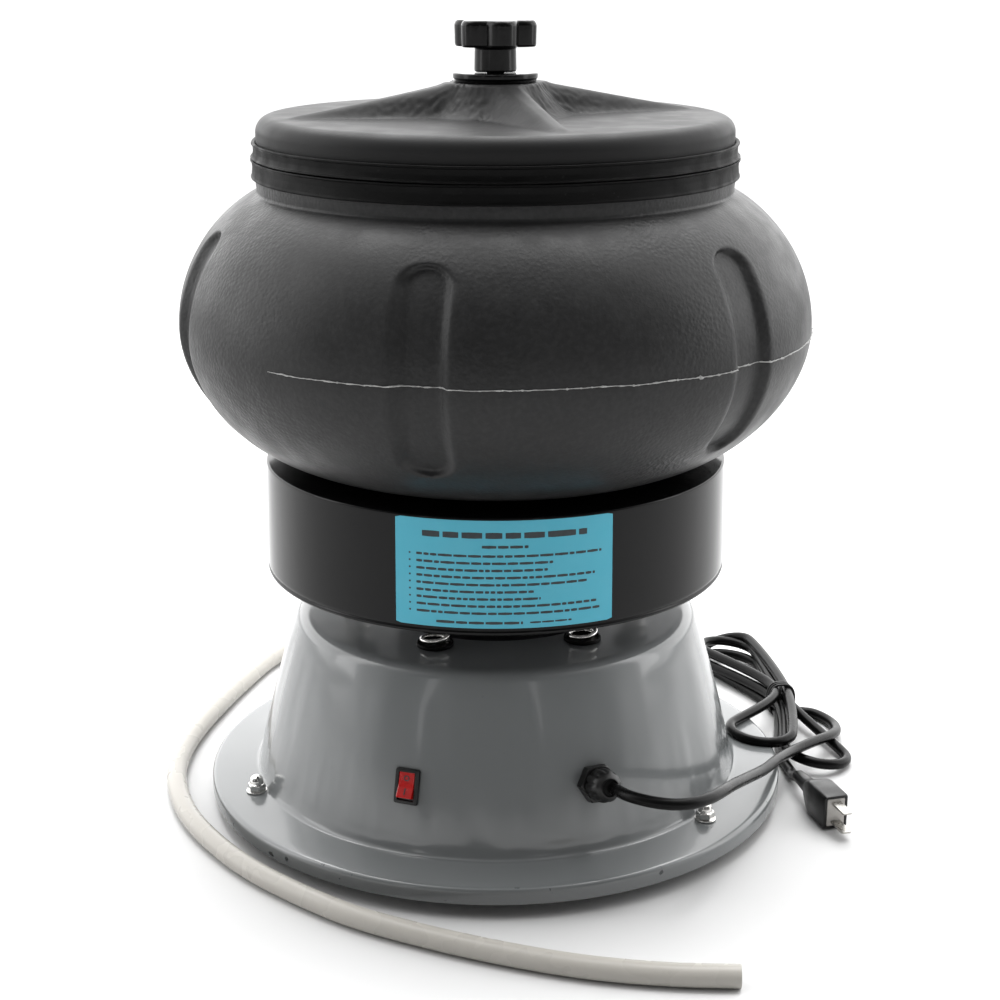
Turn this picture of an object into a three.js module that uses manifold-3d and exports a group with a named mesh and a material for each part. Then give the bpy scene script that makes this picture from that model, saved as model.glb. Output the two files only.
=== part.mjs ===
// Vibratory rock tumbler: a flow-through bowl clamped on a sprung drum, over a flanged base.
// Millimetres, +Z up. The origin is on the floor, on the machine's vertical axis.
// Bearings are degrees about +Z, counted from the front (-Y) towards +X.
import * as THREE from 'three';
import { mergeVertices } from 'three/addons/utils/BufferGeometryUtils.js';
import Module from 'manifold-3d';

const wasm = await Module();
wasm.setup();

// ---------- driving dimensions ----------
const GAP = 0.3; // air left between two pieces that touch
const LARGE = 32; // sides of a large round piece
const MIDDLE = 16;
const SMALL = 8;

// base
const FLANGE_R = 184;
const FLANGE_EDGE_R = 3.3; // rounding of the flange's outer edge
const SKIRT_Z = 9.3; // lowest edge of the base
const FLANGE_Z = 19; // flange top at its outer edge
const CONE_FOOT_R = 153.4;
const CONE_FOOT_Z = 21.7;
const BASE_TOP_Z = 126;
const BASE_TOP_ROUND = 10;
const BASE_HOLE_R = 74;
const BASE_WALL = 2.5;
const PLATE_Z = 14.4; // underside of the bottom plate
const PLATE_T = 2;
const FOOT_CIRCLE_R = 161;
const FOOT_BEARINGS = [-68, 52, 172];
const FOOT_R = 15;
const BOLT_R = 3; // M6
const CAPACITOR_R = 16;
const CAPACITOR_H = 56;
const CAPACITOR_BEARING = 120;
const CAPACITOR_CIRCLE_R = 108;

// panel fittings on the cone
const SWITCH_BEARING = -20.6;
const SWITCH_Z = 59.7;
const SWITCH_W = 15;
const SWITCH_H = 21;
const SWITCH_BODY_W = 12.6;
const SWITCH_BODY_H = 18.6;
const ROCKER_TILT = THREE.MathUtils.degToRad(12);
const GLAND_BEARING = 23.6;
const GLAND_Z = 60.5;
const GLAND_HEX_R = 12.4;
const GLAND_THREAD_R = 7.8;
const CORD_R = 3.5;

// springs
const SPRING_BEARINGS = [-24, 36, 96, 156, 216, 276];
const SPRING_CIRCLE_R = 89;
const SPRING_COIL_R = 8;
const SPRING_WIRE_R = 1.3;
const SPRING_TURNS = 4.5;
const CUP_R = 11.2;
const CUP_H = 6;
const CUP_T = 1.2;

// drum and motor
const DRUM_Z = 155.5;
const DRUM_TOP_Z = 224.8;
const DRUM_FOOT_R = 143.2;
const DRUM_TOP_R = 142.2;
const DRUM_ROUND = 2;
const DRUM_WALL = 2;
const LABEL_BEARINGS = [-23, 27.5];
const LABEL_Z = [160.2, 222.6];
const LABEL_T = 0.6;
const MOTOR_PLATE_Z = 157;
const MOTOR_PLATE_T = 3;
const CAN_R = 55;
const CAN_WALL = 2.5;
const CAN_Z = 78.3;
const SHAFT_R = 6;
const SHAFT_Z = [30, 204];
const CORE_Z = [92, 138];
const BEARING_R = 13;
const BEARING_T = 8;
const WEIGHT_R = 46;
const WEIGHT_T = 18;
const WEIGHT_Z = [38, 170]; // lower and upper eccentric weight

// bowl
const BOWL_Z = 225.1;
const BOWL_RING_R = 100; // radius of the ring that the bowl's section turns about
const BOWL_SECTION_R = 91; // half width of that section
const BOWL_WAIST_Z = 308;
const BOWL_UPPER_H = 90.3;
const BOWL_WALL = 5;
const BOWL_NECK_R = 142.5;
const BOWL_RIM_Z = 405;
const RIM_SEAL_R = 144.8;
const RIM_SEAL_Z = [396.3, 407.2];
const SEAL_INNER_R = 134;
const RECESS_BEARING = -12;
const RECESS_COUNT = 6;
const RECESS_DEPTH = 5;
const BOWL_SIDES = 48;
const BOWL_FIRST_BEARING = RECESS_BEARING + 180 / BOWL_SIDES;
const RECESS_Z = [254, 369];
const BOWL_CONE_FOOT_R = 62;
const BOWL_CONE_TOP_R = 22;
const BOWL_CONE_TOP_Z = 396;
const DRAIN_BEARING = 165;
const DRAIN_Z = 252;
const DRAIN_R = 6;
const DRAIN_REACH = 196; // how far out the spigot's end face stands
const HOSE_R = 6.35;

// lid and clamp
const LID_R = 141.7;
const LID_Z = 409.5;
const LID_TOP_Z = 431.5;
const LID_ROUND = 9;
const LID_WALL = 4;
const LID_SEAL_R = 145.1;
const LID_SEAL_Z = [407.6, 416.9];
const LID_HUB_R = 27;
const LID_RIDGE_END_R = 130;
const LID_RISE = 18.5;
const LID_RIDGES = 4;
const LID_RIDGE_BEARING = 17;
const ROD_R = 5; // M10
const ROD_Z = [213, 478];
const ROD_HOLE_R = 5.6;
const WASHER_R = 25.1;
const WASHER_Z = [450.3, 455.7];
const KNOB_STEM_R = 12.5;
const KNOB_HEAD_Z = 470.4;
const KNOB_TOP_Z = 485.6;
const KNOB_R = 24.8;
const KNOB_LOBES = 6;
const KNOB_BEARING = 15;

// ---------- materials ----------
function paint(color, roughness, metalness) {
  return new THREE.MeshStandardMaterial({ color, roughness, metalness });
}
const GREY_ENAMEL = paint(0x7c8383, 0.25, 0.2);
const BLACK_GLOSS = paint(0x080808, 0.12, 0.2);
const BOWL_PLASTIC = paint(0x3a3a3a, 0.6, 0);
const BLACK_RUBBER = paint(0x0d0d0d, 0.7, 0);
const BLACK_PLASTIC = paint(0x101010, 0.4, 0);
const RED_PLASTIC = paint(0xa81414, 0.3, 0);
const TEAL_LABEL = paint(0x3fa8b8, 0.5, 0);
const BRIGHT_STEEL = paint(0xc8c8c8, 0.2, 1);
const PLAIN_STEEL = paint(0x8a8a8a, 0.4, 1);
const CAST_IRON = paint(0x46484a, 0.6, 0.6);
const COPPER = paint(0x9a5a32, 0.4, 0.6);
const ALUMINIUM = paint(0xb0b2b4, 0.4, 0.9);
const MILKY_PLASTIC = paint(0xc8c4bc, 0.4, 0);
const NICKEL = paint(0xd0cdc4, 0.18, 1);

// ---------- small helpers ----------
const model = new THREE.Group();
const rad = THREE.MathUtils.degToRad;

function point2(x, y) {
  return new THREE.Vector2(x, y);
}

// The closed triangle mesh of a geometry: shared vertices merged, flat triangles dropped,
// faces turned outwards.
function closed(geometry) {
  const bare = geometry.clone();
  bare.deleteAttribute('normal');
  bare.deleteAttribute('uv');
  const merged = mergeVertices(bare, 1e-3);
  const place = merged.attributes.position;
  const corners = merged.index.array;
  const kept = [];
  let volume = 0;
  const a = new THREE.Vector3();
  const b = new THREE.Vector3();
  const c = new THREE.Vector3();
  for (let i = 0; i < corners.length; i += 3) {
    const [p, q, r] = corners.slice(i, i + 3);
    if (p === q || q === r || r === p) continue;
    kept.push([p, q, r]);
    a.fromBufferAttribute(place, p);
    b.fromBufferAttribute(place, q);
    c.fromBufferAttribute(place, r);
    volume += a.dot(b.cross(c));
  }
  if (volume < 0) kept.forEach((triangle) => triangle.reverse());
  merged.setIndex(kept.flat());
  return merged;
}

function toManifold(geometry) {
  const mesh = closed(geometry);
  return new wasm.Manifold(new wasm.Mesh({
    numProp: 3,
    vertProperties: new Float32Array(mesh.attributes.position.array),
    triVerts: new Uint32Array(mesh.index.array),
  }));
}

function fromManifold(solid) {
  const mesh = solid.getMesh();
  const geometry = new THREE.BufferGeometry();
  geometry.setAttribute('position', new THREE.BufferAttribute(mesh.vertProperties, 3));
  geometry.setIndex(new THREE.BufferAttribute(mesh.triVerts, 1));
  return geometry;
}

function cut(geometry, tools) {
  return fromManifold(tools.reduce((solid, tool) => solid.subtract(toManifold(tool)), toManifold(geometry)));
}

function join(geometries) {
  const solids = geometries.map(toManifold);
  return fromManifold(solids.slice(1).reduce((solid, next) => solid.add(next), solids[0]));
}

function add(name, geometry, material, parent = model) {
  const mesh = new THREE.Mesh(closed(geometry), material);
  mesh.name = name;
  parent.add(mesh);
  return mesh;
}

// A solid of revolution about Z from (radius, height) points; its first column is at startBearing.
function turned(profile, segments = MIDDLE, startBearing = 0) {
  const points = profile.map(([radius, height]) => point2(radius, height));
  return new THREE.LatheGeometry(points, segments, rad(startBearing)).rotateX(Math.PI / 2);
}

function ring(innerR, outerR, lowZ, highZ, segments = MIDDLE) {
  return turned([[innerR, lowZ], [outerR, lowZ], [outerR, highZ], [innerR, highZ], [innerR, lowZ]], segments);
}

function disc(radius, lowZ, highZ, segments = MIDDLE) {
  return turned([[0, lowZ], [radius, lowZ], [radius, highZ], [0, highZ]], segments);
}

// Points on an arc from one angle to another, in degrees.
function arc(centreR, centreZ, radius, fromDeg, toDeg, steps) {
  return Array.from({ length: steps + 1 }, (_, i) => {
    const angle = rad(fromDeg + ((toDeg - fromDeg) * i) / steps);
    return [centreR + radius * Math.cos(angle), centreZ + radius * Math.sin(angle)];
  });
}

// An outline in XY, drawn up from lowZ to highZ.
function drawn(outline, lowZ, highZ, holes = []) {
  const shape = new THREE.Shape(outline.map(([x, y]) => point2(x, y)));
  shape.holes = holes.map((hole) => new THREE.Path(hole.map(([x, y]) => point2(x, y))));
  return new THREE.ExtrudeGeometry(shape, { depth: highZ - lowZ, bevelEnabled: false }).translate(0, 0, lowZ);
}

function polygon(radius, sides, turn = 0) {
  return Array.from({ length: sides }, (_, i) => {
    const angle = turn + (2 * Math.PI * i) / sides;
    return [radius * Math.cos(angle), radius * Math.sin(angle)];
  });
}

function rectangle(width, height) {
  const x = width / 2;
  const y = height / 2;
  return [[-x, -y], [x, -y], [x, y], [-x, y]];
}

// A round bar along a curve.
function swept(curve, radius, sides, steps) {
  const section = new THREE.Shape(polygon(radius, sides).map(([x, y]) => point2(x, y)));
  return new THREE.ExtrudeGeometry(section, { steps, extrudePath: curve, bevelEnabled: false });
}

function route(points) {
  const corners = points.map(([x, y, z]) => new THREE.Vector3(x, y, z));
  return new THREE.CatmullRomCurve3(corners, false, 'centripetal');
}

// Where a bearing and a radius fall on the plan.
function onPlan(bearing, radius, z = 0) {
  return new THREE.Vector3(radius * Math.sin(rad(bearing)), -radius * Math.cos(rad(bearing)), z);
}

// A group on the plan whose own -Y faces outwards.
function stationAt(bearing, radius, z = 0) {
  const station = new THREE.Group();
  station.position.copy(onPlan(bearing, radius, z));
  station.rotation.z = rad(bearing);
  model.add(station);
  return station;
}

// ---------- base ----------
// The cone is slightly bellied.
function coneRadius(z) {
  const rise = z - CONE_FOOT_Z;
  return CONE_FOOT_R - 0.2067 * rise - 0.000597 * rise * rise;
}

function coneLean(z) {
  return Math.atan(0.2067 + 2 * 0.000597 * (z - CONE_FOOT_Z));
}

// A tool or piece made about +Z, laid on the cone so that its +Z points straight out of the wall.
function ontoCone(geometry, bearing, z) {
  const lean = coneLean(z);
  const placed = geometry.clone().rotateX(Math.PI / 2 - lean);
  placed.translate(0, -coneRadius(z), z);
  return placed.rotateZ(rad(bearing));
}

function makeBase() {
  const roundStart = 18;
  const roundCentreZ = BASE_TOP_Z - BASE_TOP_ROUND;
  const roundStartZ = roundCentreZ + BASE_TOP_ROUND * Math.sin(rad(roundStart));
  const roundCentreR = coneRadius(roundStartZ) - BASE_TOP_ROUND * Math.cos(rad(roundStart));
  const coneHeights = [25, 55, 90];
  const inside = BASE_WALL;
  const profile = [
    [FLANGE_R - inside, SKIRT_Z],
    [FLANGE_R, SKIRT_Z],
    ...arc(FLANGE_R - FLANGE_EDGE_R, FLANGE_Z - FLANGE_EDGE_R, FLANGE_EDGE_R, 0, 90, 2),
    [CONE_FOOT_R + 2, CONE_FOOT_Z - 0.6],
    ...coneHeights.map((z) => [coneRadius(z), z]),
    ...arc(roundCentreR, roundCentreZ, BASE_TOP_ROUND, roundStart, 90, 3),
    [BASE_HOLE_R, BASE_TOP_Z],
    [BASE_HOLE_R, BASE_TOP_Z - inside],
    ...arc(roundCentreR, roundCentreZ, BASE_TOP_ROUND - inside, 90, roundStart, 2),
    ...coneHeights.map((z) => [coneRadius(z) - inside * 1.03, z]).reverse(),
    [CONE_FOOT_R - 0.7, CONE_FOOT_Z - 0.6 - inside],
    [FLANGE_R - inside, FLANGE_Z - inside],
    [FLANGE_R - inside, SKIRT_Z],
  ];
  const wallDepth = 12;
  const holes = [
    ontoCone(drawn(rectangle(SWITCH_BODY_W + 2 * GAP, SWITCH_BODY_H + 2 * GAP), -wallDepth, wallDepth),
      SWITCH_BEARING, SWITCH_Z),
    ontoCone(disc(GLAND_THREAD_R + GAP, -wallDepth, wallDepth, SMALL), GLAND_BEARING, GLAND_Z),
    ...FOOT_BEARINGS.map((bearing) => disc(BOLT_R + GAP, SKIRT_Z, BASE_TOP_Z / 2, SMALL)
      .translate(...onPlan(bearing, FOOT_CIRCLE_R).toArray())),
    ...SPRING_BEARINGS.map((bearing) => disc(2.8, BASE_TOP_Z - 10, BASE_TOP_Z + 10, 8)
      .translate(...onPlan(bearing, SPRING_CIRCLE_R).toArray())),
  ];
  add('base_housing', cut(turned(profile, LARGE), holes), GREY_ENAMEL);
}

function flangeTopZ(radius) {
  const outer = FLANGE_R - FLANGE_EDGE_R;
  const inner = CONE_FOOT_R + 2;
  return FLANGE_Z + ((CONE_FOOT_Z - 0.6 - FLANGE_Z) * (outer - radius)) / (outer - inner);
}

function makeBottomPlate() {
  const plateR = FLANGE_R - BASE_WALL - 1;
  const slotCount = 12;
  const slots = Array.from({ length: slotCount }, (_, i) => {
    const slot = drawn([[-3, -112], [3, -112], [3, -70], [-3, -70]], PLATE_Z - 5, PLATE_Z + 5);
    return slot.rotateZ((2 * Math.PI * i) / slotCount);
  });
  const boltHoles = FOOT_BEARINGS.map((bearing) => disc(BOLT_R + GAP, PLATE_Z - 5, PLATE_Z + 5, SMALL)
    .translate(...onPlan(bearing, FOOT_CIRCLE_R).toArray()));
  const plate = cut(disc(plateR, PLATE_Z, PLATE_Z + PLATE_T, LARGE), [...slots, ...boltHoles]);
  add('bottom_plate', plate, PLAIN_STEEL);
}

function makeFeet() {
  const top = PLATE_Z - GAP;
  const nutZ = flangeTopZ(FOOT_CIRCLE_R) + 0.6;
  const hexH = 5;
  const domeR = 4.4;
  const headZ = [1.6, 5.6];
  FOOT_BEARINGS.forEach((bearing, i) => {
    const station = stationAt(bearing, FOOT_CIRCLE_R);
    const foot = turned([
      [6.6, 0], [FOOT_R - 2, 0], [FOOT_R, 2], [FOOT_R, top - 1], [FOOT_R - 1, top],
      [BOLT_R + GAP, top], [BOLT_R + GAP, headZ[1] + GAP], [6.6, headZ[1] + GAP], [6.6, 0],
    ], 12);
    add(`foot_${i + 1}`, foot, BLACK_RUBBER, station);
    const bolt = turned([
      [0, headZ[0]], [5.2, headZ[0]], [5.2, headZ[1]], [BOLT_R, headZ[1]], [BOLT_R, nutZ + 6], [0, nutZ + 6],
    ], SMALL);
    add(`foot_bolt_${i + 1}`, bolt, BRIGHT_STEEL, station);
    const dome = turned([
      [0, nutZ], [domeR, nutZ], [domeR, nutZ + hexH + 1.2],
      ...arc(0, nutZ + hexH + 1.2, domeR, 0, 90, 3),
    ], SMALL);
    const shell = join([drawn(polygon(5.77, 6), nutZ, nutZ + hexH), dome]);
    const bore = disc(BOLT_R + GAP, nutZ - 1, nutZ + 7, SMALL);
    add(`acorn_nut_${i + 1}`, cut(shell, [bore]), BRIGHT_STEEL, station);
  });
}

// ---------- switch and cable gland ----------
function makeSwitch() {
  const bezelT = 2;
  const seat = 0.6; // the flat bezel stands off the curved wall
  const depth = 17;
  const body = join([
    drawn(rectangle(SWITCH_W, SWITCH_H), seat, seat + bezelT),
    drawn(rectangle(SWITCH_BODY_W, SWITCH_BODY_H), -depth, seat + 1),
  ]);
  const pocketW = 10.4;
  const pocketDepth = 6.5;
  const face = seat + bezelT;
  const pocket = drawn(rectangle(pocketW, SWITCH_H - 3.6), -pocketDepth, face + 1);
  add('switch_housing', ontoCone(cut(body, [pocket]), SWITCH_BEARING, SWITCH_Z), BLACK_PLASTIC);
  // The rocker's side view about its pivot: a shallow V face over a tapered body, at mid travel.
  const half = 7.1;
  const endH = 6.2;
  const valleyH = 4.6;
  const halfW = pocketW / 2 - 0.45;
  const side = [
    [-half, endH], [-half, 1.2], [-3.5, -1.6], [3.5, -1.6], [half, 1.2], [half, endH], [0, valleyH],
  ];
  const rocker = drawn(side, -halfW, halfW).rotateY(Math.PI / 2).rotateX(Math.PI / 2);
  rocker.rotateX(-ROCKER_TILT).translate(0, 0, face - valleyH);
  add('switch_rocker', ontoCone(rocker, SWITCH_BEARING, SWITCH_Z), RED_PLASTIC);
}

function makeGland() {
  const seat = 0.7;
  const flangeT = 6;
  const capZ = seat + flangeT + GAP;
  const capT = 14;
  const bodyShell = join([
    drawn(polygon(GLAND_HEX_R, 6), seat, seat + flangeT),
    disc(GLAND_THREAD_R, -10, seat + 1, SMALL),
  ]);
  const body = cut(bodyShell, [disc(CORD_R + 0.6, -20, 20, SMALL)]);
  add('gland_body', ontoCone(body, GLAND_BEARING, GLAND_Z), BLACK_PLASTIC);
  const mouthR = CORD_R + 0.4;
  const cap = turned([
    [mouthR, capZ], [10.6, capZ], [10.6, capZ + 7], [9.6, capZ + 10.5],
    [7.4, capZ + 13], [5.4, capZ + capT], [mouthR, capZ + capT], [mouthR, capZ],
  ], 12);
  add('gland_cap', ontoCone(cap, GLAND_BEARING, GLAND_Z), BLACK_PLASTIC);
  const nutTop = -BASE_WALL - 1.6;
  const nutBore = disc(GLAND_THREAD_R + GAP, -20, 0, SMALL);
  const locknut = cut(drawn(polygon(12.2, 6), nutTop - 5, nutTop), [nutBore]);
  add('gland_locknut', ontoCone(locknut, GLAND_BEARING, GLAND_Z), BLACK_PLASTIC);
}

function makeCapacitor() {
  const low = PLATE_Z + PLATE_T + GAP;
  const high = low + CAPACITOR_H;
  const radius = CAPACITOR_R;
  const can = turned([
    [0, low], [radius - 1, low], [radius, low + 1], [radius, high - 2], [radius - 1.5, high], [0, high],
  ], 14);
  can.translate(...onPlan(CAPACITOR_BEARING, CAPACITOR_CIRCLE_R).toArray());
  add('run_capacitor', can, ALUMINIUM);
}

// ---------- springs ----------
class Helix extends THREE.Curve {
  getPoint(t, target = new THREE.Vector3()) {
    const low = BASE_TOP_Z + GAP + CUP_T + GAP + SPRING_WIRE_R;
    const high = MOTOR_PLATE_Z - GAP - SPRING_WIRE_R;
    const angle = 2 * Math.PI * SPRING_TURNS * t;
    return target.set(
      SPRING_COIL_R * Math.cos(angle),
      SPRING_COIL_R * Math.sin(angle),
      low + (high - low) * t,
    );
  }
}

function makeSprings() {
  const cupZ = BASE_TOP_Z + GAP;
  const wallUnderside = BASE_TOP_Z - BASE_WALL - GAP;
  const rivetEnd = wallUnderside - 2.1;
  SPRING_BEARINGS.forEach((bearing, i) => {
    const station = stationAt(bearing, SPRING_CIRCLE_R);
    add(`spring_${i + 1}`, swept(new Helix(), SPRING_WIRE_R, 4, 27), BRIGHT_STEEL, station);
    const cup = turned([
      [0, rivetEnd], [4.4, rivetEnd], [4.4, wallUnderside], [2.4, wallUnderside],
      [2.4, cupZ], [CUP_R, cupZ], [CUP_R, cupZ + CUP_H], [CUP_R - CUP_T, cupZ + CUP_H],
      [CUP_R - CUP_T, cupZ + CUP_T], [0, cupZ + CUP_T],
    ], SMALL);
    add(`spring_cup_${i + 1}`, cup, BLACK_RUBBER, station);
  });
}

// ---------- drum, motor and weights ----------
function makeDrum() {
  const inner = DRUM_WALL;
  const roundR = DRUM_TOP_R - DRUM_ROUND;
  const roundZ = DRUM_TOP_Z - DRUM_ROUND;
  const profile = [
    [DRUM_FOOT_R - inner, DRUM_Z],
    [DRUM_FOOT_R, DRUM_Z],
    ...arc(roundR, roundZ, DRUM_ROUND, 0, 90, 3),
    [6, DRUM_TOP_Z],
    [6, DRUM_TOP_Z - inner],
    ...arc(roundR, roundZ, DRUM_ROUND - inner, 90, 0, 2),
    [DRUM_FOOT_R - inner, DRUM_Z],
  ];
  add('drum', turned(profile, LARGE), BLACK_GLOSS);
}

function makeLabel() {
  const [first, last] = LABEL_BEARINGS;
  const steps = 8;
  const innerR = DRUM_FOOT_R + GAP;
  const side = (radius) => Array.from({ length: steps + 1 }, (_, i) => {
    const bearing = first + ((last - first) * i) / steps;
    return onPlan(bearing, radius).toArray().slice(0, 2);
  });
  const outline = [...side(innerR + LABEL_T), ...side(innerR).reverse()];
  add('data_label', drawn(outline, ...LABEL_Z), TEAL_LABEL);
}

function makeMotorPlate() {
  const low = MOTOR_PLATE_Z;
  const high = low + MOTOR_PLATE_T;
  const plate = ring(17.5, DRUM_FOOT_R - DRUM_WALL - 1.2, low, high, 30);
  const cups = SPRING_BEARINGS.map((bearing) => {
    const cup = ring(CUP_R - CUP_T, CUP_R, low - CUP_H, low + 1, SMALL);
    return cup.translate(...onPlan(bearing, SPRING_CIRCLE_R).toArray());
  });
  add('motor_plate', join([plate, ...cups]), PLAIN_STEEL);
}

function bearingSeat() {
  return BEARING_R + GAP;
}

function makeMotor() {
  const flangeZ = [152, MOTOR_PLATE_Z - GAP];
  const topBearing = flangeZ[1] - 5;
  const bore = SHAFT_R + 0.6;
  const housing = turned([
    [CAN_R - CAN_WALL, CAN_Z], [CAN_R, CAN_Z], [CAN_R, flangeZ[0]], [64, flangeZ[0]], [64, flangeZ[1]],
    [16.8, flangeZ[1]], [16.8, topBearing + BEARING_T + 4], [bore, topBearing + BEARING_T + 4],
    [bore, topBearing + BEARING_T + GAP], [bearingSeat(), topBearing + BEARING_T + GAP],
    [bearingSeat(), topBearing - 2], [CAN_R - CAN_WALL, topBearing - 2], [CAN_R - CAN_WALL, CAN_Z],
  ], MIDDLE);
  add('motor_housing', housing, CAST_IRON);
  const bellZ = 66;
  const endBell = turned([
    [bore, bellZ], [CAN_R, bellZ], [CAN_R, CAN_Z - GAP], [CAN_R - 5, CAN_Z - GAP], [CAN_R - 5, bellZ + 4.5],
    [17, bellZ + 4.5], [17, bellZ + 4 + BEARING_T], [bearingSeat(), bellZ + 4 + BEARING_T],
    [bearingSeat(), bellZ + 4], [bore, bellZ + 4], [bore, bellZ],
  ], MIDDLE);
  add('motor_end_bell', endBell, CAST_IRON);
  const lowerBearing = bellZ + 4 + GAP;
  for (const [name, low] of [['bearing_upper', topBearing], ['bearing_lower', lowerBearing]]) {
    add(name, ring(SHAFT_R + GAP, BEARING_R, low, low + BEARING_T, 14), BRIGHT_STEEL);
  }
  const [coreLow, coreHigh] = CORE_Z;
  const coilH = 8;
  const stator = turned([
    [30.6, coreLow], [34, coreLow], [34, coreLow - coilH], [49, coreLow - coilH], [49, coreLow],
    [CAN_R - CAN_WALL - GAP, coreLow], [CAN_R - CAN_WALL - GAP, coreHigh], [49, coreHigh],
    [49, coreHigh + coilH], [34, coreHigh + coilH], [34, coreHigh], [30.6, coreHigh], [30.6, coreLow],
  ], MIDDLE);
  add('stator', stator, COPPER);
  const rotor = turned([
    [0, SHAFT_Z[0]], [SHAFT_R, SHAFT_Z[0]], [SHAFT_R, coreLow], [29.8, coreLow], [29.8, coreHigh],
    [SHAFT_R, coreHigh], [SHAFT_R, SHAFT_Z[1]], [0, SHAFT_Z[1]],
  ], 14);
  add('rotor_shaft', rotor, PLAIN_STEEL);
}

// An eccentric weight: a sector of a disc round a split hub. The two weights are set a quarter turn apart.
function makeWeights() {
  const names = ['eccentric_weight_lower', 'eccentric_weight_upper'];
  const bearings = [0, 90];
  const spread = 75;
  names.forEach((name, i) => {
    const low = WEIGHT_Z[i];
    const sector = arc(0, 0, WEIGHT_R, -90 - spread, -90 + spread, 10);
    const outline = [...sector, [11, 8], [-11, 8]];
    const blank = join([drawn(outline, low, low + WEIGHT_T), disc(13, low, low + WEIGHT_T, 14)]);
    const weight = cut(blank, [disc(SHAFT_R + GAP, low - 1, low + WEIGHT_T + 1, 14)]);
    add(name, weight.rotateZ(rad(bearings[i])), CAST_IRON);
  });
}

// ---------- bowl ----------
// The bowl's outer wall, from its foot to its neck, moved in by inset.
function bowlWall(inset, lowSteps, highSteps) {
  const width = BOWL_SECTION_R - inset;
  const lowH = BOWL_WAIST_Z - BOWL_Z - inset;
  const highH = BOWL_UPPER_H - inset;
  const power = 1.85; // the lower half is a little fuller than an ellipse
  const neckAngle = Math.acos((BOWL_NECK_R - inset - BOWL_RING_R) / width);
  const lower = Array.from({ length: lowSteps }, (_, i) => {
    const angle = (Math.PI / 2) * (1 - i / lowSteps);
    return [
      BOWL_RING_R + width * Math.cos(angle) ** (2 / power),
      BOWL_WAIST_Z - lowH * Math.sin(angle) ** (2 / power),
    ];
  });
  const upper = Array.from({ length: highSteps + 1 }, (_, i) => {
    const angle = (neckAngle * i) / highSteps;
    return [BOWL_RING_R + width * Math.cos(angle), BOWL_WAIST_Z + highH * Math.sin(angle)];
  });
  return [...lower, ...upper];
}

// How far an upright oval recess pushes the bowl's wall in.
function recessDepth(bearing, z) {
  const pitch = 360 / RECESS_COUNT;
  const offset = Math.abs(((bearing - RECESS_BEARING + pitch / 2) % pitch + pitch) % pitch - pitch / 2);
  const inside = offset < 4 && z > RECESS_Z[0] && z < RECESS_Z[1];
  return inside ? RECESS_DEPTH : 0;
}

function makeBowl() {
  const outer = bowlWall(0, 4, 4);
  const inner = bowlWall(BOWL_WALL, 3, 2).reverse();
  const floorZ = BOWL_Z + BOWL_WALL;
  const thin = 4;
  const profile = [
    [BOWL_CONE_FOOT_R, BOWL_Z],
    ...outer,
    [BOWL_NECK_R, BOWL_RIM_Z],
    [BOWL_NECK_R - BOWL_WALL, BOWL_RIM_Z],
    ...inner,
    [BOWL_CONE_FOOT_R + 3, floorZ],
    [BOWL_CONE_TOP_R, BOWL_CONE_TOP_Z - 6],
    [BOWL_CONE_TOP_R - 5, BOWL_CONE_TOP_Z],
    [ROD_HOLE_R, BOWL_CONE_TOP_Z],
    [ROD_HOLE_R, BOWL_CONE_TOP_Z - thin],
    [BOWL_CONE_TOP_R - 7, BOWL_CONE_TOP_Z - thin],
    [BOWL_CONE_TOP_R - thin, BOWL_CONE_TOP_Z - 8],
    [BOWL_CONE_FOOT_R, BOWL_Z],
  ];
  const bowl = turned(profile, BOWL_SIDES, BOWL_FIRST_BEARING);
  const place = bowl.attributes.position;
  // Both faces of the wall go in together, so it keeps its thickness; the centre cone stays.
  for (let i = 0; i < place.count; i += 1) {
    const x = place.getX(i);
    const y = place.getY(i);
    const radius = Math.hypot(x, y);
    const bearing = THREE.MathUtils.radToDeg(Math.atan2(x, -y));
    const depth = radius > BOWL_RING_R ? recessDepth(bearing, place.getZ(i)) : 0;
    const scale = depth > 0 ? 1 - depth / radius : 1;
    place.setXY(i, x * scale, y * scale);
  }
  const drainHole = disc(DRAIN_R + GAP, 0, 60, SMALL).rotateX(Math.PI / 2).translate(0, -130, DRAIN_Z);
  add('bowl', cut(bowl, [drainHole.rotateZ(rad(DRAIN_BEARING))]), BOWL_PLASTIC);
}

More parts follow.
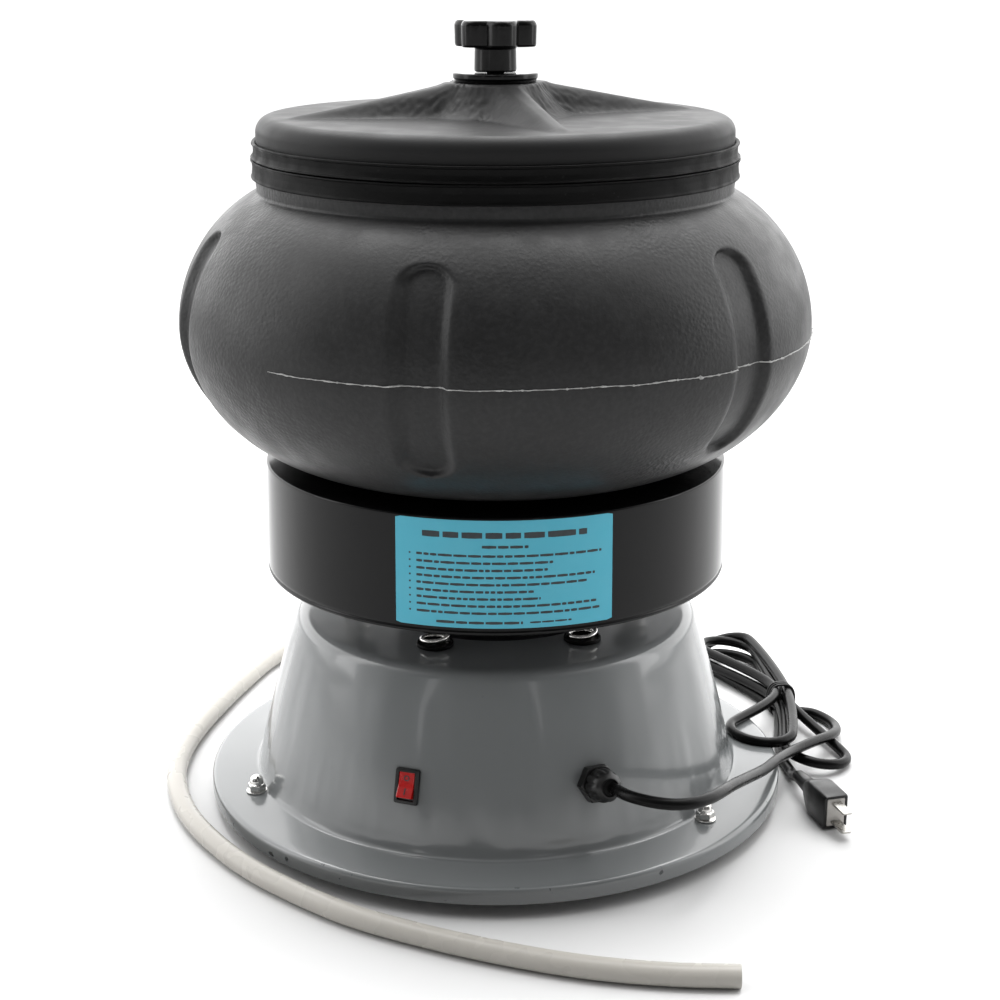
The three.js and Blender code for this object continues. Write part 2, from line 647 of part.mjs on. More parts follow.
function makeBowlFittings() {
  const overRim = BOWL_RIM_Z + GAP;
  const roundNeck = BOWL_NECK_R + GAP;
  const [sealLow, sealHigh] = RIM_SEAL_Z;
  const rimSeal = turned([
    [roundNeck, sealLow], [RIM_SEAL_R, sealLow], [RIM_SEAL_R, sealHigh],
    [SEAL_INNER_R, sealHigh], [SEAL_INNER_R, overRim], [roundNeck, overRim], [roundNeck, sealLow],
  ], BOWL_SIDES, BOWL_FIRST_BEARING);
  add('bowl_rim_seal', rimSeal, BLACK_RUBBER);
  const rod = turned([
    [0, ROD_Z[0]], [ROD_R, ROD_Z[0]], [ROD_R, DRUM_TOP_Z + GAP], [13, DRUM_TOP_Z + GAP],
    [13, DRUM_TOP_Z + 5], [ROD_R, DRUM_TOP_Z + 5], [ROD_R, ROD_Z[1]], [0, ROD_Z[1]],
  ], SMALL);
  add('centre_rod', rod, BRIGHT_STEEL);
  const nutHole = (low, high) => disc(ROD_R + GAP, low - 1, high + 1, SMALL);
  const drumNutZ = [DRUM_TOP_Z - DRUM_WALL - GAP - 8, DRUM_TOP_Z - DRUM_WALL - GAP];
  add('rod_nut', cut(drawn(polygon(9.8, 6), ...drumNutZ), [nutHole(...drumNutZ)]), BRIGHT_STEEL);
  const bowlNutZ = [BOWL_CONE_TOP_Z + GAP, BOWL_CONE_TOP_Z + GAP + 9];
  const flanged = join([disc(15, bowlNutZ[0], bowlNutZ[0] + 2, 14), drawn(polygon(9.8, 6), ...bowlNutZ)]);
  add('bowl_nut', cut(flanged, [nutHole(...bowlNutZ)]), BRIGHT_STEEL);
}

function makeDrain() {
  const seat = 160.5;
  const bore = 4;
  const spigot = turned([
    [bore, 150], [DRAIN_R, 150], [DRAIN_R, seat + 12], [8.4, seat + 12], [8.4, seat + 16],
    [DRAIN_R, seat + 16.5], [DRAIN_R, DRAIN_REACH], [bore, DRAIN_REACH], [bore, 150],
  ], SMALL);
  spigot.rotateX(Math.PI / 2).translate(0, 0, DRAIN_Z).rotateZ(rad(DRAIN_BEARING));
  add('drain_spigot', spigot, MILKY_PLASTIC);
}

// ---------- lid and clamp ----------
// The lid's ridges run from the hub to the edge, wide at the hub and fading out at the edge.
function lidRise(x, y) {
  const radius = Math.hypot(x, y);
  if (radius <= LID_HUB_R) return LID_RISE;
  if (radius >= LID_RIDGE_END_R) return 0;
  const along = 1 - (radius - LID_HUB_R) / (LID_RIDGE_END_R - LID_HUB_R);
  const pitch = (2 * Math.PI) / LID_RIDGES;
  const bearing = Math.atan2(x, -y) - rad(LID_RIDGE_BEARING);
  const offset = Math.abs(((bearing + pitch / 2) % pitch + pitch) % pitch - pitch / 2);
  const across = Math.min((radius * Math.sin(offset)) / (8 + 24 * along), 1);
  return LID_RISE * along * (1 - THREE.MathUtils.smoothstep(across, 0, 1));
}

function makeLid() {
  const flatR = LID_R - LID_ROUND;
  const roundZ = LID_TOP_Z - LID_ROUND;
  const underZ = LID_TOP_Z - LID_WALL;
  const topRadii = [ROD_HOLE_R, LID_HUB_R, 60, 95];
  const profile = [
    ...topRadii.map((radius) => [radius, LID_TOP_Z]),
    ...arc(flatR, roundZ, LID_ROUND, 90, 0, 3),
    [LID_R, LID_Z],
    [LID_R - LID_WALL, LID_Z],
    ...arc(flatR, roundZ, LID_ROUND - LID_WALL, 0, 90, 2),
    ...topRadii.map((radius) => [radius, underZ]).reverse(),
    [ROD_HOLE_R, LID_TOP_Z],
  ];
  const lid = turned(profile, LARGE, LID_RIDGE_BEARING);
  const place = lid.attributes.position;
  for (let i = 0; i < place.count; i += 1) {
    place.setZ(i, place.getZ(i) + lidRise(place.getX(i), place.getY(i)));
  }
  add('lid', lid, BOWL_PLASTIC);
  const lip = LID_R + GAP;
  const [sealLow, sealHigh] = LID_SEAL_Z;
  const seal = turned([
    [SEAL_INNER_R, sealLow], [LID_SEAL_R, sealLow], [LID_SEAL_R, sealHigh], [lip, sealHigh],
    [lip, LID_Z - GAP], [SEAL_INNER_R, LID_Z - GAP], [SEAL_INNER_R, sealLow],
  ], LARGE, LID_RIDGE_BEARING);
  add('lid_seal', seal, BLACK_RUBBER);
}

function makeKnob() {
  add('clamp_washer', ring(ROD_HOLE_R, WASHER_R, ...WASHER_Z, 24), BLACK_GLOSS);
  const steps = 36;
  const grip = Array.from({ length: steps }, (_, i) => {
    const angle = (2 * Math.PI * i) / steps;
    const swell = (1 + Math.cos(KNOB_LOBES * angle)) / 2;
    const radius = KNOB_R - 5.5 * (1 - swell ** 0.6);
    const turn = angle - Math.PI / 2 + rad(KNOB_BEARING);
    return [radius * Math.cos(turn), radius * Math.sin(turn)];
  });
  const stemZ = WASHER_Z[1] + GAP;
  const whole = join([
    drawn(grip, KNOB_HEAD_Z, KNOB_TOP_Z),
    disc(KNOB_STEM_R, stemZ, KNOB_HEAD_Z + 1, 16),
  ]);
  add('knob', cut(whole, [disc(ROD_HOLE_R, stemZ - 1, ROD_Z[1] + 1.5, SMALL)]), BLACK_GLOSS);
}

// ---------- power cord, plug and drain hose ----------
const CORD_ROUTE = [
  [69.3, -153.2, 65.6], [73.7, -161.5, 66.8], [80.5, -168.3, 67.5], [90, -172.5, 67.2], [101, -172.8, 66.2],
  [111.5, -169, 65.2], [121, -160, 63.5], [130, -144.5, 60], [139, -124, 54.5], [152, -93, 44.5],
  [168, -58, 34], [181, -27, 26.5], [195.2, 0.4, 20],
];
const PLUG_LEAD_ROUTE = [[195.4, -1.6, 4.4], [195.3, -6, 5.7], [195.5, -12.5, 8.2], [196, -18.2, 10.7]];
const PLUG_START = [196.4, -20.4, 11.6];
const PLUG_BEARING = 16;
const HOSE_ROUTE = [
  [50.8, 189.9, 252], [56, 209, 251.7], [58, 230, 247], [54, 250, 235], [42, 268, 214], [22, 283, 184],
  [-4, 295, 149], [-35, 303, 112], [-68, 306, 77], [-99, 302, 47], [-125, 289, 25], [-143, 267, 11.5],
  [-155, 240, 6.8], [-165, 213, 6.4], [-176, 186, 6.4], [-187, 150, 6.4], [-197, 112, 6.4], [-206, 70, 6.4],
  [-210.5, 32, 6.4], [-209.5, -4, 6.4], [-202, -38, 6.4], [-189, -71, 6.4], [-170, -103, 6.4],
  [-146, -134, 6.4], [-117, -162, 6.4], [-81, -190, 6.4], [-40, -212, 6.4], [5, -231, 6.4],
  [50, -245, 6.4], [92, -252, 6.4], [130, -254, 6.4],
];

// A long outline with round ends from one centre to another.
function stadium(from, to, radius, steps = 8) {
  const heading = Math.atan2(to[1] - from[1], to[0] - from[0]);
  const end = ([x, y], start) => Array.from({ length: steps + 1 }, (_, i) => {
    const angle = start + (Math.PI * i) / steps;
    return [x + radius * Math.cos(angle), y + radius * Math.sin(angle)];
  });
  return [...end(to, heading - Math.PI / 2), ...end(from, heading + Math.PI / 2)];
}

function makeCord() {
  add('cord_lead', swept(route(CORD_ROUTE), CORD_R, 8, 20), BLACK_PLASTIC);
  const hank = join([
    drawn(stadium([211.5, 20], [175, 203], 24), GAP, 26),
    drawn(stadium([216, 42], [213, 70], 24), GAP, 20),
    drawn(stadium([172, 6], [188, 110], 12.5), 21.6, 28.6),
  ]);
  add('cord_hank', hank, BLACK_PLASTIC);
  add('cord_plug_lead', swept(route(PLUG_LEAD_ROUTE), CORD_R, 8, 3), BLACK_PLASTIC);
}

// The plug lies on its narrow side, its two flat blades one above the other.
function makePlug() {
  const station = new THREE.Group();
  station.position.set(...PLUG_START);
  station.rotation.set(Math.PI / 2, 0, rad(PLUG_BEARING));
  station.rotation.order = 'ZXY';
  model.add(station);
  const reliefL = 18;
  const shoulderL = 30;
  const bodyEnd = 54;
  const relief = turned([[0, 0], [3.9, 0], [5.4, reliefL + 1], [0, reliefL + 1]], 12);
  // The body is as broad as one outline and as tall as another, both drawn along the cord.
  const outlined = (neck, half, depth) => drawn([
    [-neck, reliefL], [neck, reliefL], [half, shoulderL],
    [half, bodyEnd], [-half, bodyEnd], [-half, shoulderL],
  ], -depth, depth).rotateX(Math.PI / 2);
  const wide = toManifold(outlined(5.5, 8.2, 12));
  const tall = toManifold(outlined(6, 11.2, 9).rotateZ(Math.PI / 2));
  const body = join([fromManifold(wide.intersect(tall)), relief]);
  add('plug_body', body, BLACK_PLASTIC, station);
  for (const [name, offset] of [['plug_blade_upper', 6.35], ['plug_blade_lower', -6.35]]) {
    const blade = drawn(rectangle(6.35, 1.5), bodyEnd + GAP, bodyEnd + 16).translate(0, offset, 0);
    add(name, blade, NICKEL, station);
  }
}

function makeHose() {
  add('drain_hose', swept(route(HOSE_ROUTE), HOSE_R, 8, 44), MILKY_PLASTIC);
}

makeBase();
makeBottomPlate();
makeFeet();
makeSwitch();
makeGland();
makeCapacitor();
makeSprings();
makeDrum();
makeLabel();
makeMotorPlate();
makeMotor();
makeWeights();
makeBowl();
makeBowlFittings();
makeDrain();
makeLid();
makeKnob();
makeCord();
makePlug();
makeHose();

export default model;
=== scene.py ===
"""Vibratory rock tumbler: the looks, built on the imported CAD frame.

Metres, +Z up, origin on the floor under the machine's vertical axis. Bearings are degrees about
+Z, counted from the front (-Y) towards +X. Lengths written as n * MM are the CAD's own millimetres.
"""
import math
import random
import bmesh
import bpy
from mathutils import Matrix, Vector, noise


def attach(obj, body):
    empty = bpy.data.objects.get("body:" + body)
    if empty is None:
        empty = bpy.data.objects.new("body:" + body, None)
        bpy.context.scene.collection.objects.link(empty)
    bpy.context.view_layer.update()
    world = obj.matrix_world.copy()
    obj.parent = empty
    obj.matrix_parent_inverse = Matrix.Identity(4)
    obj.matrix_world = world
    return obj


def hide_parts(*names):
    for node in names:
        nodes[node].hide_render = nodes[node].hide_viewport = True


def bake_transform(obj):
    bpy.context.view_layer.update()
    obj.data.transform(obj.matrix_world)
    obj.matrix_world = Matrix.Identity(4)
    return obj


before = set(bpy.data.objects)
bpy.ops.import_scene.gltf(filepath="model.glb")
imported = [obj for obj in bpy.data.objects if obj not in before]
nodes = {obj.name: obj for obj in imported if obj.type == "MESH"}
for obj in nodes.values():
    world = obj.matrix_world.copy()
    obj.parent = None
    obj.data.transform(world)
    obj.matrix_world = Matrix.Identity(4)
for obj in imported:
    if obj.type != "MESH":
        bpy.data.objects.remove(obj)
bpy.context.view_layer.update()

MM = 0.001
FINE = 384  # columns round the big smooth pieces
ROUND = 96
SMALL = 48

# ---------- driving dimensions, as in the CAD ----------
FLANGE_R = 184 * MM
SKIRT_Z = 9.3 * MM
FLANGE_Z = 19 * MM
CONE_FOOT_R = 153.4 * MM
CONE_FOOT_Z = 21.7 * MM
BASE_TOP_Z = 126 * MM
BASE_HOLE_R = 74 * MM
BASE_WALL = 2.5 * MM
FOOT_CIRCLE_R = 161 * MM
FOOT_BEARINGS = (-68, 52, 172)
FOOT_R = 15 * MM
SWITCH_BEARING = -20.6
SWITCH_Z = 59.7 * MM
GLAND_BEARING = 23.6
GLAND_Z = 60.5 * MM
CORD_R = 3.5 * MM
SPRING_BEARINGS = (-24, 36, 96, 156, 216, 276)
SPRING_CIRCLE_R = 89 * MM
SPRING_COIL_R = 8 * MM
SPRING_WIRE_R = 1.3 * MM
SPRING_TURNS = 4.5
SPRING_Z = (129.2 * MM, 155.4 * MM)
DRUM_Z = 155.5 * MM
DRUM_TOP_Z = 224.8 * MM
DRUM_FOOT_R = 143.2 * MM
DRUM_TOP_R = 142.2 * MM
LABEL_BEARINGS = (-23, 27.5)
LABEL_Z = (160.2 * MM, 223.2 * MM)
BOWL_Z = 225.1 * MM
BOWL_RING_R = 100 * MM
BOWL_SECTION_R = 91 * MM
BOWL_WAIST_Z = 308 * MM
BOWL_UPPER_H = 90.3 * MM
BOWL_POWER = 1.85
BOWL_WALL = 5 * MM
BOWL_NECK_R = 142.5 * MM
BOWL_RIM_Z = 405 * MM
RECESS_BEARING = -12
RECESS_COUNT = 6
RECESS_Z = (254 * MM, 369.5 * MM)
RECESS_HALF_W = 15.6 * MM
RECESS_DEPTH = 5 * MM
FLASH_Z = 308.4 * MM
FLASH_TRIMMED = ((-112, -100), (-43, -37))  # bearings where it fades out, and in again
LID_R = 141.7 * MM
LID_Z = 409.5 * MM
LID_TOP_Z = 431.5 * MM
LID_ROUND = 9 * MM
LID_WALL = 4 * MM
LID_HUB_R = 27 * MM
LID_RIDGE_END_R = 130 * MM
LID_RISE = 18.5 * MM
LID_RIDGES = 4
LID_RIDGE_BEARING = 17
WASHER_R = 25.1 * MM
WASHER_Z = (450.3 * MM, 455.7 * MM)
KNOB_STEM_R = 12.5 * MM
KNOB_HEAD_Z = 470.4 * MM
KNOB_TOP_Z = 485.6 * MM
KNOB_R = 24.8 * MM
KNOB_LOBES = 6
KNOB_BEARING = 15
ROD_CLEAR = 5.6 * MM  # bore radius of whatever slides on the centre rod
DRAIN_BEARING = 165
DRAIN_Z = 252 * MM
HOSE_R = 6.35 * MM
HOSE_BORE_R = 4.6 * MM


# ---------- camera and light ----------
def make_camera():
    data = bpy.data.cameras.new("camera")
    data.sensor_width = 36
    data.lens = 66.6
    data.clip_start = 0.05
    data.clip_end = 60
    camera = bpy.data.objects.new("camera", data)
    camera.location = (0.0027, -1.116, 0.529)
    camera.rotation_euler = (math.radians(90 - 16.79), 0, 0)
    bpy.context.scene.collection.objects.link(camera)
    bpy.context.scene.camera = camera


def softbox(name, place, target, size, radiance):
    """A square soft light of the given brightness, aimed from place at target."""
    width, height = size
    data = bpy.data.lights.new(name, "AREA")
    data.shape = "RECTANGLE"
    data.size = width
    data.size_y = height
    data.energy = radiance * math.pi * width * height
    lamp = bpy.data.objects.new(name, data)
    lamp.location = place
    aim = Vector(target) - Vector(place)
    lamp.rotation_euler = aim.to_track_quat("-Z", "Y").to_euler()
    bpy.context.scene.collection.objects.link(lamp)


def make_light():
    softbox("top_light", (0, 0.55, 1.8), (0, 0, 0.2), (1.8, 1.5), 6.0)
    softbox("left_light", (-1.7, -0.1, 0.9), (0, 0, 0.25), (0.5, 1.5), 2.1)
    softbox("right_light", (1.7, 0.0, 0.9), (0, 0, 0.25), (0.5, 1.5), 2.2)
    softbox("near_left_light", (-1.25, -1.9, 0.75), (0, 0, 0.1), (0.22, 0.9), 1.3)
    softbox("near_right_light", (0.75, -2.1, 0.8), (0, 0, 0.1), (0.16, 0.8), 1.2)
    world = bpy.data.worlds.new("studio")
    bpy.context.scene.world = world
    world.use_nodes = True
    tree = world.node_tree
    sky = tree.nodes["Background"]
    direction = tree.nodes.new("ShaderNodeTexCoord")
    parts = tree.nodes.new("ShaderNodeSeparateXYZ")
    tree.links.new(direction.outputs["Generated"], parts.inputs[0])
    # The studio is white behind and above the object, and dim on the near side.
    back = tree.nodes.new("ShaderNodeMapRange")
    back.inputs["From Min"].default_value = -0.55
    back.inputs["From Max"].default_value = 0.35
    back.inputs["To Min"].default_value = 0.10
    back.inputs["To Max"].default_value = 2.9
    tree.links.new(parts.outputs["Y"], back.inputs["Value"])
    tree.links.new(back.outputs["Result"], sky.inputs["Strength"])
    sky.inputs["Color"].default_value = (1, 1, 1, 1)
    bpy.context.scene.view_settings.view_transform = "Standard"


# ---------- materials ----------
class Surface:
    """A Principled material whose colour, roughness and bump are made from noise in object space."""

    def __init__(self, name, metallic=0.0, **uniform):
        self.material = bpy.data.materials.new(name)
        self.material.use_nodes = True
        self.tree = self.material.node_tree
        self.shader = self.tree.nodes["Principled BSDF"]
        self.shader.inputs["Metallic"].default_value = metallic
        for socket, value in uniform.items():
            self.shader.inputs[socket.replace("_", " ")].default_value = value
        self.place = self.tree.nodes.new("ShaderNodeTexCoord").outputs["Object"]
        self.normal = None

    def noise(self, scale, detail=3.0, stretch=(1, 1, 1), roughness=0.5):
        mapping = self.tree.nodes.new("ShaderNodeMapping")
        mapping.inputs["Scale"].default_value = stretch
        self.tree.links.new(self.place, mapping.inputs["Vector"])
        cloud = self.tree.nodes.new("ShaderNodeTexNoise")
        cloud.inputs["Scale"].default_value = scale
        cloud.inputs["Detail"].default_value = detail
        cloud.inputs["Roughness"].default_value = roughness
        self.tree.links.new(mapping.outputs[0], cloud.inputs["Vector"])
        return cloud.outputs["Fac"]

    def cells(self, scale, smooth=0.6):
        grain = self.tree.nodes.new("ShaderNodeTexVoronoi")
        grain.feature = "SMOOTH_F1"
        grain.inputs["Scale"].default_value = scale
        grain.inputs["Smoothness"].default_value = smooth
        self.tree.links.new(self.place, grain.inputs["Vector"])
        return grain.outputs["Distance"]

    def bands(self, scale, direction="Z", distortion=0.0):
        wave = self.tree.nodes.new("ShaderNodeTexWave")
        wave.bands_direction = direction
        wave.inputs["Scale"].default_value = scale
        wave.inputs["Distortion"].default_value = distortion
        self.tree.links.new(self.place, wave.inputs["Vector"])
        return wave.outputs["Fac"]

    def axis(self, letter):
        split = self.tree.nodes.new("ShaderNodeSeparateXYZ")
        self.tree.links.new(self.place, split.inputs[0])
        return split.outputs[letter]

    def remap(self, value, low, high, to_low, to_high):
        node = self.tree.nodes.new("ShaderNodeMapRange")
        node.interpolation_type = "SMOOTHSTEP"
        limits = {"From Min": low, "From Max": high, "To Min": to_low, "To Max": to_high}
        for socket, number in limits.items():
            node.inputs[socket].default_value = number
        self.tree.links.new(value, node.inputs["Value"])
        return node.outputs["Result"]

    def combine(self, operation, a, b):
        node = self.tree.nodes.new("ShaderNodeMath")
        node.operation = operation
        for socket, value in zip(node.inputs, (a, b)):
            if isinstance(value, (int, float)):
                socket.default_value = value
            else:
                self.tree.links.new(value, socket)
        return node.outputs[0]

    def mix(self, factor, first, second):
        """first and second are colours (three numbers) or colour sockets."""
        node = self.tree.nodes.new("ShaderNodeMix")
        node.data_type = "RGBA"
        self.tree.links.new(factor, node.inputs["Factor"])
        for socket, value in ((node.inputs[6], first), (node.inputs[7], second)):
            if isinstance(value, tuple):
                socket.default_value = (*value, 1)
            else:
                self.tree.links.new(value, socket)
        return node.outputs[2]

    def colour(self, socket):
        self.tree.links.new(socket, self.shader.inputs["Base Color"])

    def rough(self, value, low, high):
        self.tree.links.new(self.remap(value, 0.3, 0.7, low, high), self.shader.inputs["Roughness"])

    def bump(self, height, distance, strength=1.0):
        node = self.tree.nodes.new("ShaderNodeBump")
        node.inputs["Distance"].default_value = distance
        node.inputs["Strength"].default_value = strength
        self.tree.links.new(height, node.inputs["Height"])
        if self.normal is not None:
            self.tree.links.new(self.normal, node.inputs["Normal"])
        self.normal = node.outputs["Normal"]
        self.tree.links.new(self.normal, self.shader.inputs["Normal"])


def grey_enamel():
    """Sprayed grey enamel: glossy, faint orange peel, a few dark chips on the flange's outer edge."""
    s = Surface("grey_enamel", Coat_Weight=0.35, Coat_Roughness=0.06)
    tone = s.mix(s.noise(6, 2), (0.139, 0.146, 0.148), (0.150, 0.158, 0.160))
    specks = s.remap(s.noise(420, 2), 0.74, 0.78, 0, 0.25)
    tone = s.mix(specks, tone, (0.07, 0.075, 0.075))
    radius = s.combine("POWER", s.combine("ADD", s.combine("POWER", s.axis("X"), 2),
                                          s.combine("POWER", s.axis("Y"), 2)), 0.5)
    rim = s.remap(radius, FLANGE_R - 0.003, FLANGE_R - 0.0008, 0, 1)
    chips = s.combine("MULTIPLY", rim, s.remap(s.noise(120, 4), 0.66, 0.70, 0, 1))
    s.colour(s.mix(chips, tone, (0.03, 0.032, 0.035)))
    s.rough(s.noise(12, 2), 0.17, 0.22)
    s.bump(s.noise(90, 1), 0.00012, 0.3)
    s.bump(chips, 0.0002, -0.6)
    return s.material


def black_gloss_paint():
    s = Surface("black_gloss_paint", Specular_IOR_Level=0.16)
    s.colour(s.mix(s.noise(24, 3), (0.0022, 0.0022, 0.0024), (0.0045, 0.0045, 0.0047)))
    s.rough(s.noise(14, 2), 0.07, 0.12)
    s.bump(s.noise(90, 1), 0.0001, 0.3)
    return s.material


def black_gloss_plastic():
    s = Surface("black_gloss_plastic", Specular_IOR_Level=0.2)
    s.colour(s.mix(s.noise(90, 3), (0.002, 0.002, 0.002), (0.005, 0.005, 0.005)))
    s.rough(s.noise(150, 4), 0.10, 0.20)
    s.bump(s.noise(900, 2), 0.00005, 0.4)
    return s.material


def bowl_plastic():
    """Rotationally moulded plastic: leathery grain, fainter in random patches, a few pale scuffs."""
    s = Surface("bowl_plastic", Specular_IOR_Level=0.20)
    broad = s.noise(7, 3)
    tone = s.mix(broad, (0.013, 0.013, 0.0133), (0.018, 0.018, 0.0183))
    tone = s.mix(s.remap(s.noise(340, 3), 0.35, 0.75, 0, 0.5), tone, (0.026, 0.026, 0.0264))
    scuffs = s.remap(s.noise(46, 6, stretch=(1, 1, 6), roughness=0.7), 0.70, 0.78, 0, 0.35)
    s.colour(s.mix(scuffs, tone, (0.09, 0.09, 0.09)))
    s.rough(s.noise(60, 4), 0.36, 0.46)
    patch = s.remap(s.noise(10, 2), 0.35, 0.62, 0.25, 1.0)
    s.bump(s.combine("MULTIPLY", s.cells(430), patch), 0.00032, 0.65)
    s.bump(s.noise(900, 3), 0.00012, 0.6)
    s.bump(s.noise(40, 2), 0.0003, 0.3)
    return s.material


def lid_plastic():
    """The lid's skin is smoother than the bowl's: satin, with a few fine scuffs."""
    s = Surface("lid_plastic", Specular_IOR_Level=0.09)
    tone = s.mix(s.noise(9, 3), (0.013, 0.013, 0.0132), (0.018, 0.018, 0.0182))
    scuffs = s.remap(s.noise(60, 6, roughness=0.7), 0.70, 0.77, 0, 0.3)
    s.colour(s.mix(scuffs, tone, (0.07, 0.07, 0.07)))
    s.rough(s.noise(50, 3), 0.42, 0.50)
    s.bump(s.noise(700, 3), 0.00012, 0.4)
    return s.material


def flash_plastic():
    s = Surface("flash_plastic", Roughness=0.6)
    s.colour(s.mix(s.noise(320, 4), (0.16, 0.16, 0.16), (0.50, 0.50, 0.49)))
    s.bump(s.noise(1200, 3), 0.0002, 0.6)
    return s.material


def black_rubber():
    s = Surface("black_rubber", Specular_IOR_Level=0.08)
    tone = s.mix(s.noise(40, 4), (0.0015, 0.0015, 0.0015), (0.0035, 0.0035, 0.0035))
    s.colour(s.mix(s.remap(s.noise(500, 4), 0.66, 0.74, 0, 0.3), tone, (0.03, 0.03, 0.03)))
    s.rough(s.noise(80, 4), 0.42, 0.62)
    s.bump(s.noise(700, 3), 0.00012, 0.5)
    return s.material


def black_plastic():
    s = Surface("black_plastic", Specular_IOR_Level=0.35)
    s.colour(s.mix(s.noise(60, 3), (0.004, 0.004, 0.004), (0.009, 0.009, 0.009)))
    s.rough(s.noise(120, 3), 0.28, 0.42)
    s.bump(s.noise(1400, 2), 0.00006, 0.5)
    return s.material


def cord_jacket():
    s = Surface("cord_jacket", Specular_IOR_Level=0.10)
    s.colour(s.mix(s.noise(35, 4), (0.002, 0.002, 0.002), (0.005, 0.005, 0.005)))
    s.rough(s.noise(28, 3), 0.24, 0.36)
    s.bump(s.noise(650, 3), 0.0001, 0.5)
    return s.material


def red_rocker():
    s = Surface("red_rocker", Coat_Weight=0.4, Coat_Roughness=0.08, Subsurface_Weight=0.25,
                Subsurface_Scale=0.002)
    s.colour(s.mix(s.noise(240, 3), (0.30, 0.004, 0.004), (0.50, 0.010, 0.009)))
    s.rough(s.noise(500, 3), 0.16, 0.28)
    s.bump(s.noise(1500, 2), 0.00004, 0.5)
    return s.material


def label_film():
    s = Surface("label_film")
    s.colour(s.mix(s.noise(26, 4), (0.050, 0.365, 0.495), (0.064, 0.400, 0.525)))
    s.rough(s.noise(90, 3), 0.42, 0.55)
    s.bump(s.noise(120, 3), 0.0001, 0.35)
    return s.material


def label_ink():
    s = Surface("label_ink")
    s.colour(s.mix(s.noise(600, 3), (0.006, 0.012, 0.016), (0.014, 0.024, 0.030)))
    s.rough(s.noise(400, 3), 0.45, 0.6)
    return s.material


def metal(name, dark, light, rough, grain=500, stretch=(1, 1, 1), peel=0.00005):
    s = Surface(name, metallic=1.0)
    s.colour(s.mix(s.noise(grain / 4, 4, stretch), dark, light))
    s.rough(s.noise(grain, 4, stretch), *rough)
    s.bump(s.noise(grain * 2, 3, stretch), peel, 0.5)
    return s


def threaded_steel():
    s = metal("threaded_steel", (0.45, 0.45, 0.45), (0.66, 0.66, 0.65), (0.2, 0.35))
    s.bump(s.bands(210), 0.0007, 0.9)
    return s.material


def cast_iron():
    s = metal("cast_iron", (0.05, 0.052, 0.055), (0.12, 0.12, 0.125), (0.5, 0.7), 300)
    s.bump(s.noise(420, 4), 0.0004, 0.6)
    return s.material


def copper_winding():
    s = metal("copper_winding", (0.36, 0.14, 0.05), (0.62, 0.27, 0.11), (0.3, 0.45), 500)
    s.bump(s.bands(420, "DIAGONAL", 2.0), 0.0006, 0.8)
    return s.material


def milky_plastic():
    """Cloudy soft tubing, with faint dust."""
    s = Surface("milky_plastic", Specular_IOR_Level=0.3)
    tone = s.mix(s.noise(5, 1), (0.400, 0.382, 0.350), (0.415, 0.397, 0.364))
    s.colour(s.mix(s.remap(s.noise(240, 3), 0.60, 0.72, 0, 0.12), tone, (0.30, 0.285, 0.26)))
    s.rough(s.noise(40, 2), 0.24, 0.32)
    s.bump(s.noise(160, 2), 0.00006, 0.25)
    return s.material


def plug_insert():
    s = Surface("plug_insert")
    s.colour(s.mix(s.noise(260, 4), (0.42, 0.40, 0.38), (0.58, 0.56, 0.53)))
    s.rough(s.noise(300, 3), 0.3, 0.45)
    s.bump(s.noise(900, 3), 0.00008, 0.5)
    return s.material


def floor_white():
    s = Surface("floor_white")
    s.colour(s.mix(s.noise(2, 2), (0.60, 0.60, 0.60), (0.62, 0.62, 0.62)))
    s.rough(s.noise(3, 2), 0.8, 0.9)
    return s.material


def make_skins():
    brushed = (1, 1, 12)
    return {
        "grey_enamel": grey_enamel(),
        "black_gloss_paint": black_gloss_paint(),
        "black_gloss_plastic": black_gloss_plastic(),
        "bowl_plastic": bowl_plastic(),
        "lid_plastic": lid_plastic(),
        "flash_plastic": flash_plastic(),
        "black_rubber": black_rubber(),
        "black_plastic": black_plastic(),
        "cord_jacket": cord_jacket(),
        "red_rocker": red_rocker(),
        "label_film": label_film(),
        "label_ink": label_ink(),
        "bright_steel": metal("bright_steel", (0.60, 0.59, 0.57), (0.80, 0.79, 0.77), (0.10, 0.22)).material,
        "plain_steel": metal("plain_steel", (0.20, 0.20, 0.205), (0.36, 0.36, 0.365), (0.34, 0.5)).material,
        "aluminium": metal("aluminium", (0.58, 0.58, 0.60), (0.74, 0.74, 0.76), (0.3, 0.42), 400,
                           brushed).material,
        "plug_nickel": metal("plug_nickel", (0.34, 0.33, 0.31), (0.50, 0.49, 0.46), (0.24, 0.36),
                             700).material,
        "threaded_steel": threaded_steel(),
        "cast_iron": cast_iron(),
        "copper_winding": copper_winding(),
        "milky_plastic": milky_plastic(),
        "plug_insert": plug_insert(),
        "floor_white": floor_white(),
    }


# ---------- geometry helpers ----------
def link_object(name, data, skin):
    made = bpy.data.objects.new(name, data)
    data.materials.append(skins[skin])
    bpy.context.scene.collection.objects.link(made)
    return made


def mesh_piece(name, points, faces, skin, crease=38):
    """A mesh from points and faces, welded, faces out, smooth except at edges sharper than crease."""
    data = bpy.data.meshes.new(name)
    data.from_pydata([tuple(p) for p in points], [], faces)
    work = bmesh.new()
    work.from_mesh(data)
    bmesh.ops.remove_doubles(work, verts=work.verts, dist=2e-6)
    bmesh.ops.dissolve_degenerate(work, edges=work.edges, dist=1e-7)
    bmesh.ops.recalc_face_normals(work, faces=work.faces)
    work.to_mesh(data)
    work.free()
    data.shade_smooth()
    data.set_sharp_from_angle(angle=math.radians(crease))
    return link_object(name, data, skin)


def settle(piece, body, slot, *replaced):
    """Puts a finished piece on its body and hides the CAD nodes that it stands for; the slot argument is not
    used.
    """
    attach(piece, body)
    if replaced:
        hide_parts(*replaced)
    return piece


